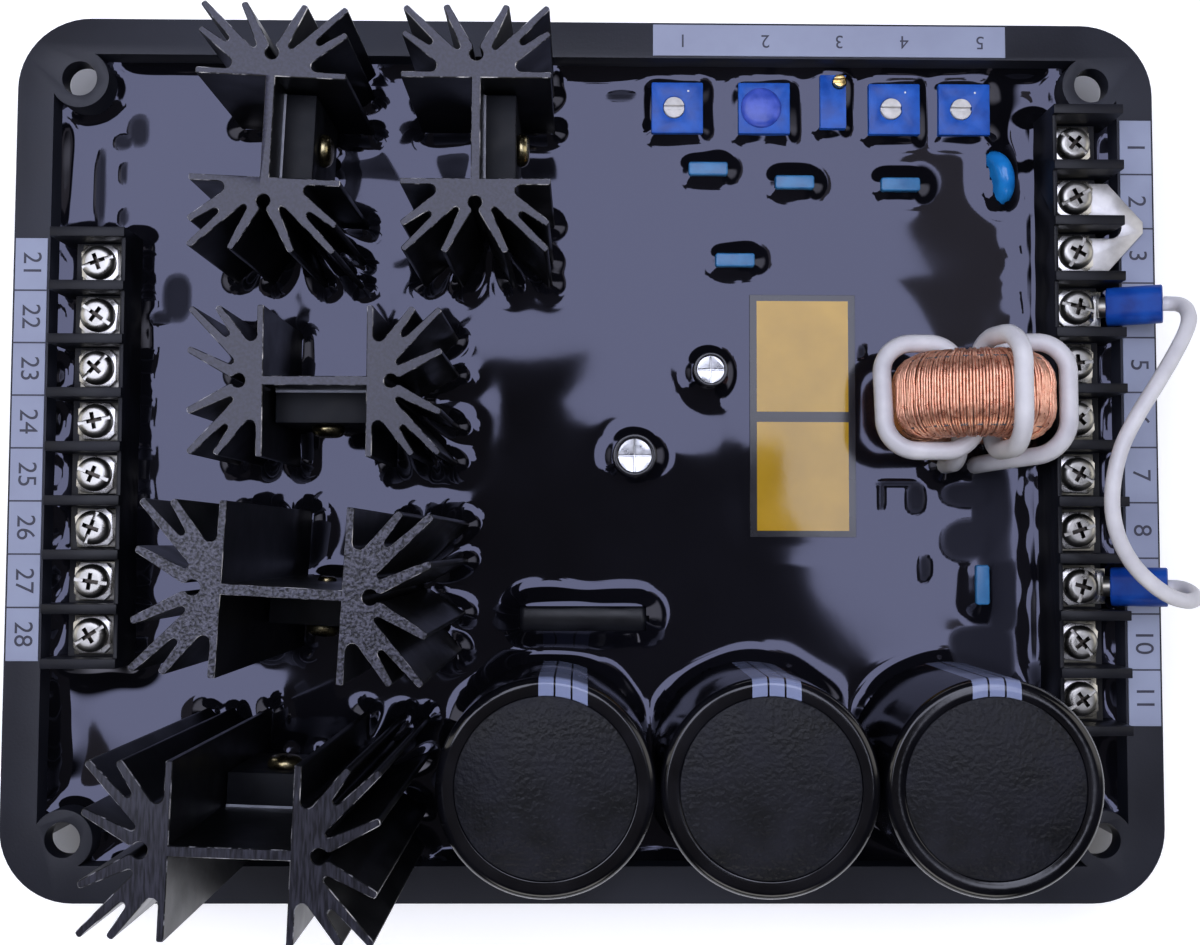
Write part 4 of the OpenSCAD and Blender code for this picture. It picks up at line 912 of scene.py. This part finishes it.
bpy.ops.object.mode_set(mode="OBJECT")
# Screen ink: flat dark grey-blue
ink = surface("dark_screen_ink", "#2b2c3a", "#363748", 2, (0.5, 0.6), 0.3, 0.004)
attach(lettering, frame["nodes"]["rim_labels"]["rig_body"])
dress(lettering, ink)

# Centre label: a black polyester film with two blank yellow panels, printed and varnished. It is
# stuck flat on the set resin.
panel_left, panel_right, panel_foot, panel_top = 31.2, 48, 16.19, 16.24
# Black film: smooth and glossy, so it mirrors the soft box
film_black = surface("black_label_film", "#1a1a1f", "#24242a", 12, (0.12, 0.2), 2, 0.005)
softened("centre_label", 0.04, film_black, segments=1)
# Yellow print: a strong warm yellow that dulls under the gloss
yellow_print = surface("yellow_print", "#a98318", "#bd9420", 14, (0.06, 0.1), 1.5, 0.004)
for name, front, rear in (("yellow_panel_rear", 8.6, 29), ("yellow_panel_front", -13.2, 6.7)):
    panel = flat_box(name, panel_left, front, panel_right, rear, panel_foot, panel_top)
    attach(panel, frame["nodes"]["centre_label"]["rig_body"])
    dress(panel, yellow_print)

# Studio: a pale paper floor, a large soft box overhead, one at each side and one in front, dim glowing
# cards that only mirrors see, which paint dark reflections into the resin, and a camera at the
# photograph's angle.
bpy.ops.mesh.primitive_plane_add(size=6)
floor = bpy.context.object
floor.name = "floor"
# Paper sweep: white and matt, with a faint glow to the eye and in mirrors
paper = surface("white_paper_sweep", "#e9e9ea", "#efeff0", 300, (0.85, 0.95), 2, 0.01)
tree = paper.node_tree
shader = tree.nodes["Principled BSDF"]
path = add(tree, "LightPath")
seen = path.outputs["Is Camera Ray"]
for ray in ("Is Glossy Ray", "Is Transmission Ray"):
    seen = add(tree, "Math", {"operation": "MAXIMUM"}, {0: seen, 1: path.outputs[ray]})
# Painted shadow: under the tray the paper is painted darker and loses its glow; half sizes and fading edge
# in mm
shadow_half, shadow_fade, painted_shadow_tone, paper_glow = (101, 77), 4, 0.42, 0.42
spread = add(tree, "VectorMath", {"operation": "ABSOLUTE"}, {0: add(tree, "TexCoord").outputs["Object"]})
sides = add(tree, "SeparateXYZ", links={0: spread})
edges = []
for axis, half in enumerate(shadow_half):
    ends = {"From Min": half * MM, "From Max": (half + shadow_fade) * MM}
    edges.append(add(tree, "MapRange", ends, {"Value": sides.outputs[axis]}))
clear = add(tree, "Math", {"operation": "MAXIMUM"}, {0: edges[0], 1: edges[1]})
open_paper = add(tree, "Math", {"operation": "MULTIPLY"}, {0: clear, 1: seen})
glow = add(tree, "Math", {"operation": "MULTIPLY", 1: paper_glow}, {0: open_paper})
shaded = add(tree, "MapRange", {"To Min": painted_shadow_tone, "To Max": 1.0}, {"Value": clear})
white = shader.inputs["Base Color"].links[0].from_socket
tone = add(tree, "VectorMath", {"operation": "SCALE"}, {0: white, "Scale": shaded})
shader.inputs["Emission Color"].default_value = (1, 1, 1, 1)
tree.links.new(tone.outputs[0], shader.inputs["Base Color"])
tree.links.new(glow.outputs[0], shader.inputs["Emission Strength"])
floor.data.materials.append(paper)


def glowing(name):
    """A material that only gives light, and its emission node."""
    made = bpy.data.materials.new(name)
    made.use_nodes = True
    tree = made.node_tree
    tree.nodes.remove(tree.nodes["Principled BSDF"])
    light = add(tree, "Emission")
    tree.links.new(light.outputs[0], tree.nodes["Material Output"].inputs["Surface"])
    return made, light


def softbox(name, middle, aim, size, strength, edge, tint):
    """A glowing panel whose light fades towards its edges; sizes in metres."""
    bpy.ops.mesh.primitive_plane_add(size=1)
    panel = bpy.context.object
    panel.name = name
    panel.scale = (*size, 1)
    bpy.ops.object.transform_apply(location=False, rotation=False)
    panel.rotation_euler = (Vector(aim) - Vector(middle)).to_track_quat("Z", "Y").to_euler()
    panel.location = middle
    made, light = glowing(name + "_cloth")
    tree = made.node_tree
    split = add(tree, "SeparateXYZ", links={0: add(tree, "TexCoord").outputs["Generated"]})
    fades = []
    for axis in (0, 1):
        off = add(tree, "Math", {"operation": "SUBTRACT", 1: 0.5}, {0: split.outputs[axis]})
        away = add(tree, "Math", {"operation": "ABSOLUTE"}, {0: off})
        ends = {"From Min": 0.5 - edge, "From Max": 0.5, "To Min": 1.0, "To Max": 0.0}
        fades.append(add(tree, "MapRange", {"interpolation_type": "SMOOTHSTEP", **ends}, {"Value": away}))
    both = add(tree, "Math", {"operation": "MULTIPLY"}, {0: fades[0], 1: fades[1]})
    power = add(tree, "Math", {"operation": "MULTIPLY", 1: strength}, {0: both})
    light.inputs["Color"].default_value = linear(tint)
    tree.links.new(power.outputs[0], light.inputs["Strength"])
    panel.data.materials.append(made)
    panel.visible_camera = False


softbox("overhead_softbox", (-0.065, 0.115, 0.62), (-0.065, 0.115, 0), (0.71, 0.55), 4.3, 0.06, "#e4e8ff")
for name, x in (("left_softbox", -0.75), ("right_softbox", 0.75)):
    softbox(name, (x, 0.1, 0.42), (0, 0, 0.02), (0.5, 0.9), 1.5, 0.2, "#fffcf8")
softbox("front_softbox", (0, -0.8, 0.4), (0, 0, 0.02), (0.9, 0.4), 2.6, 0.2, "#fffcf8")


def flag(name, corners, height, strength):
    """A dim glowing card over the object that only mirrors see, which paints a dark reflection; corners
    and height in mm.
    """
    shape = bpy.data.meshes.new(name)
    shape.from_pydata([(x * MM, y * MM, height * MM) for x, y in corners], [], [range(len(corners))])
    card = bpy.data.objects.new(name, shape)
    bpy.context.collection.objects.link(card)
    made, light = glowing(name + "_cloth")
    light.inputs["Color"].default_value = linear("#fff4f0")
    light.inputs["Strength"].default_value = strength
    shape.materials.append(made)
    card.visible_camera = card.visible_diffuse = False
    card.visible_shadow = card.visible_transmission = False


# Painted reflections: the outlines of the dark zones that the cards paint into the resin's mirror
camera_shade = (
    (-36, 54), (3, 55), (2, 49), (-4, 39), (-1, 32), (8, 30), (3, 22), (33, 18), (51, 20), (61, 22),
    (73, 25), (76, 17), (76, -1), (80, -7), (83, -12), (88, -18), (91, -29), (95, -36), (101, -44),
    (108, -55), (114, -64), (120, -80), (120, -200), (-160, -200), (-120, -70), (-88, -29), (-48, -2),
    (-41, 6), (-35, 23), (-33, 28), (-33, 44),
)
corner_shade = ((-260, -30), (-184, -30), (-180, -80), (-176, -122), (-260, -122))
seam_shade = (
    (123, 156), (135, 166), (145, 137), (161, 110), (158, 102), (158, 79), (157, 63), (130, 63), (127, 78),
    (123, 84), (135, 90), (133, 100), (127, 111), (124, 121), (123, 137),
)
foot_shade = ((136, -42), (148, -44), (154, -42), (158, -44), (159, -60), (131, -58), (134, -51))
flag("camera_shade", camera_shade, 290, 0.07)
flag("corner_shade", corner_shade, 289, 0.27)
flag("seam_shade", seam_shade, 291, 0.45)
flag("foot_shade", foot_shade, 291, 0.45)

# Room light: even and white, dimmer from above
world = bpy.data.worlds.new("studio")
bpy.context.scene.world = world
world.use_nodes = True
tree = world.node_tree
split = add(tree, "SeparateXYZ", links={0: add(tree, "TexCoord").outputs["Generated"]})
ends = {"From Min": 0.0, "From Max": 0.75, "To Min": 0.75, "To Max": 0.2}
sky = add(tree, "MapRange", ends, {"Value": split.outputs[2]})
tree.links.new(sky.outputs[0], tree.nodes["Background"].inputs["Strength"])

# Camera: its place in mm and its axes, as fitted to the photograph
lens = bpy.data.cameras.new("camera")
lens.lens = 41.569
lens.sensor_width = 36
lens.clip_start = 0.01
camera = bpy.data.objects.new("camera", lens)
bpy.context.collection.objects.link(camera)
stand = Vector((-0.48, -15.83, 268.61))
right = Vector((0.99992, 0.00307, 0.01203))
up = Vector((-0.00369, 0.99864, 0.05198))
back = Vector((-0.01185, -0.05202, 0.99858))
camera.matrix_world = Matrix.Translation(stand * MM) @ Matrix((right, up, back)).transposed().to_4x4()
bpy.context.scene.camera = camera
bpy.context.scene.view_settings.view_transform = "Standard"
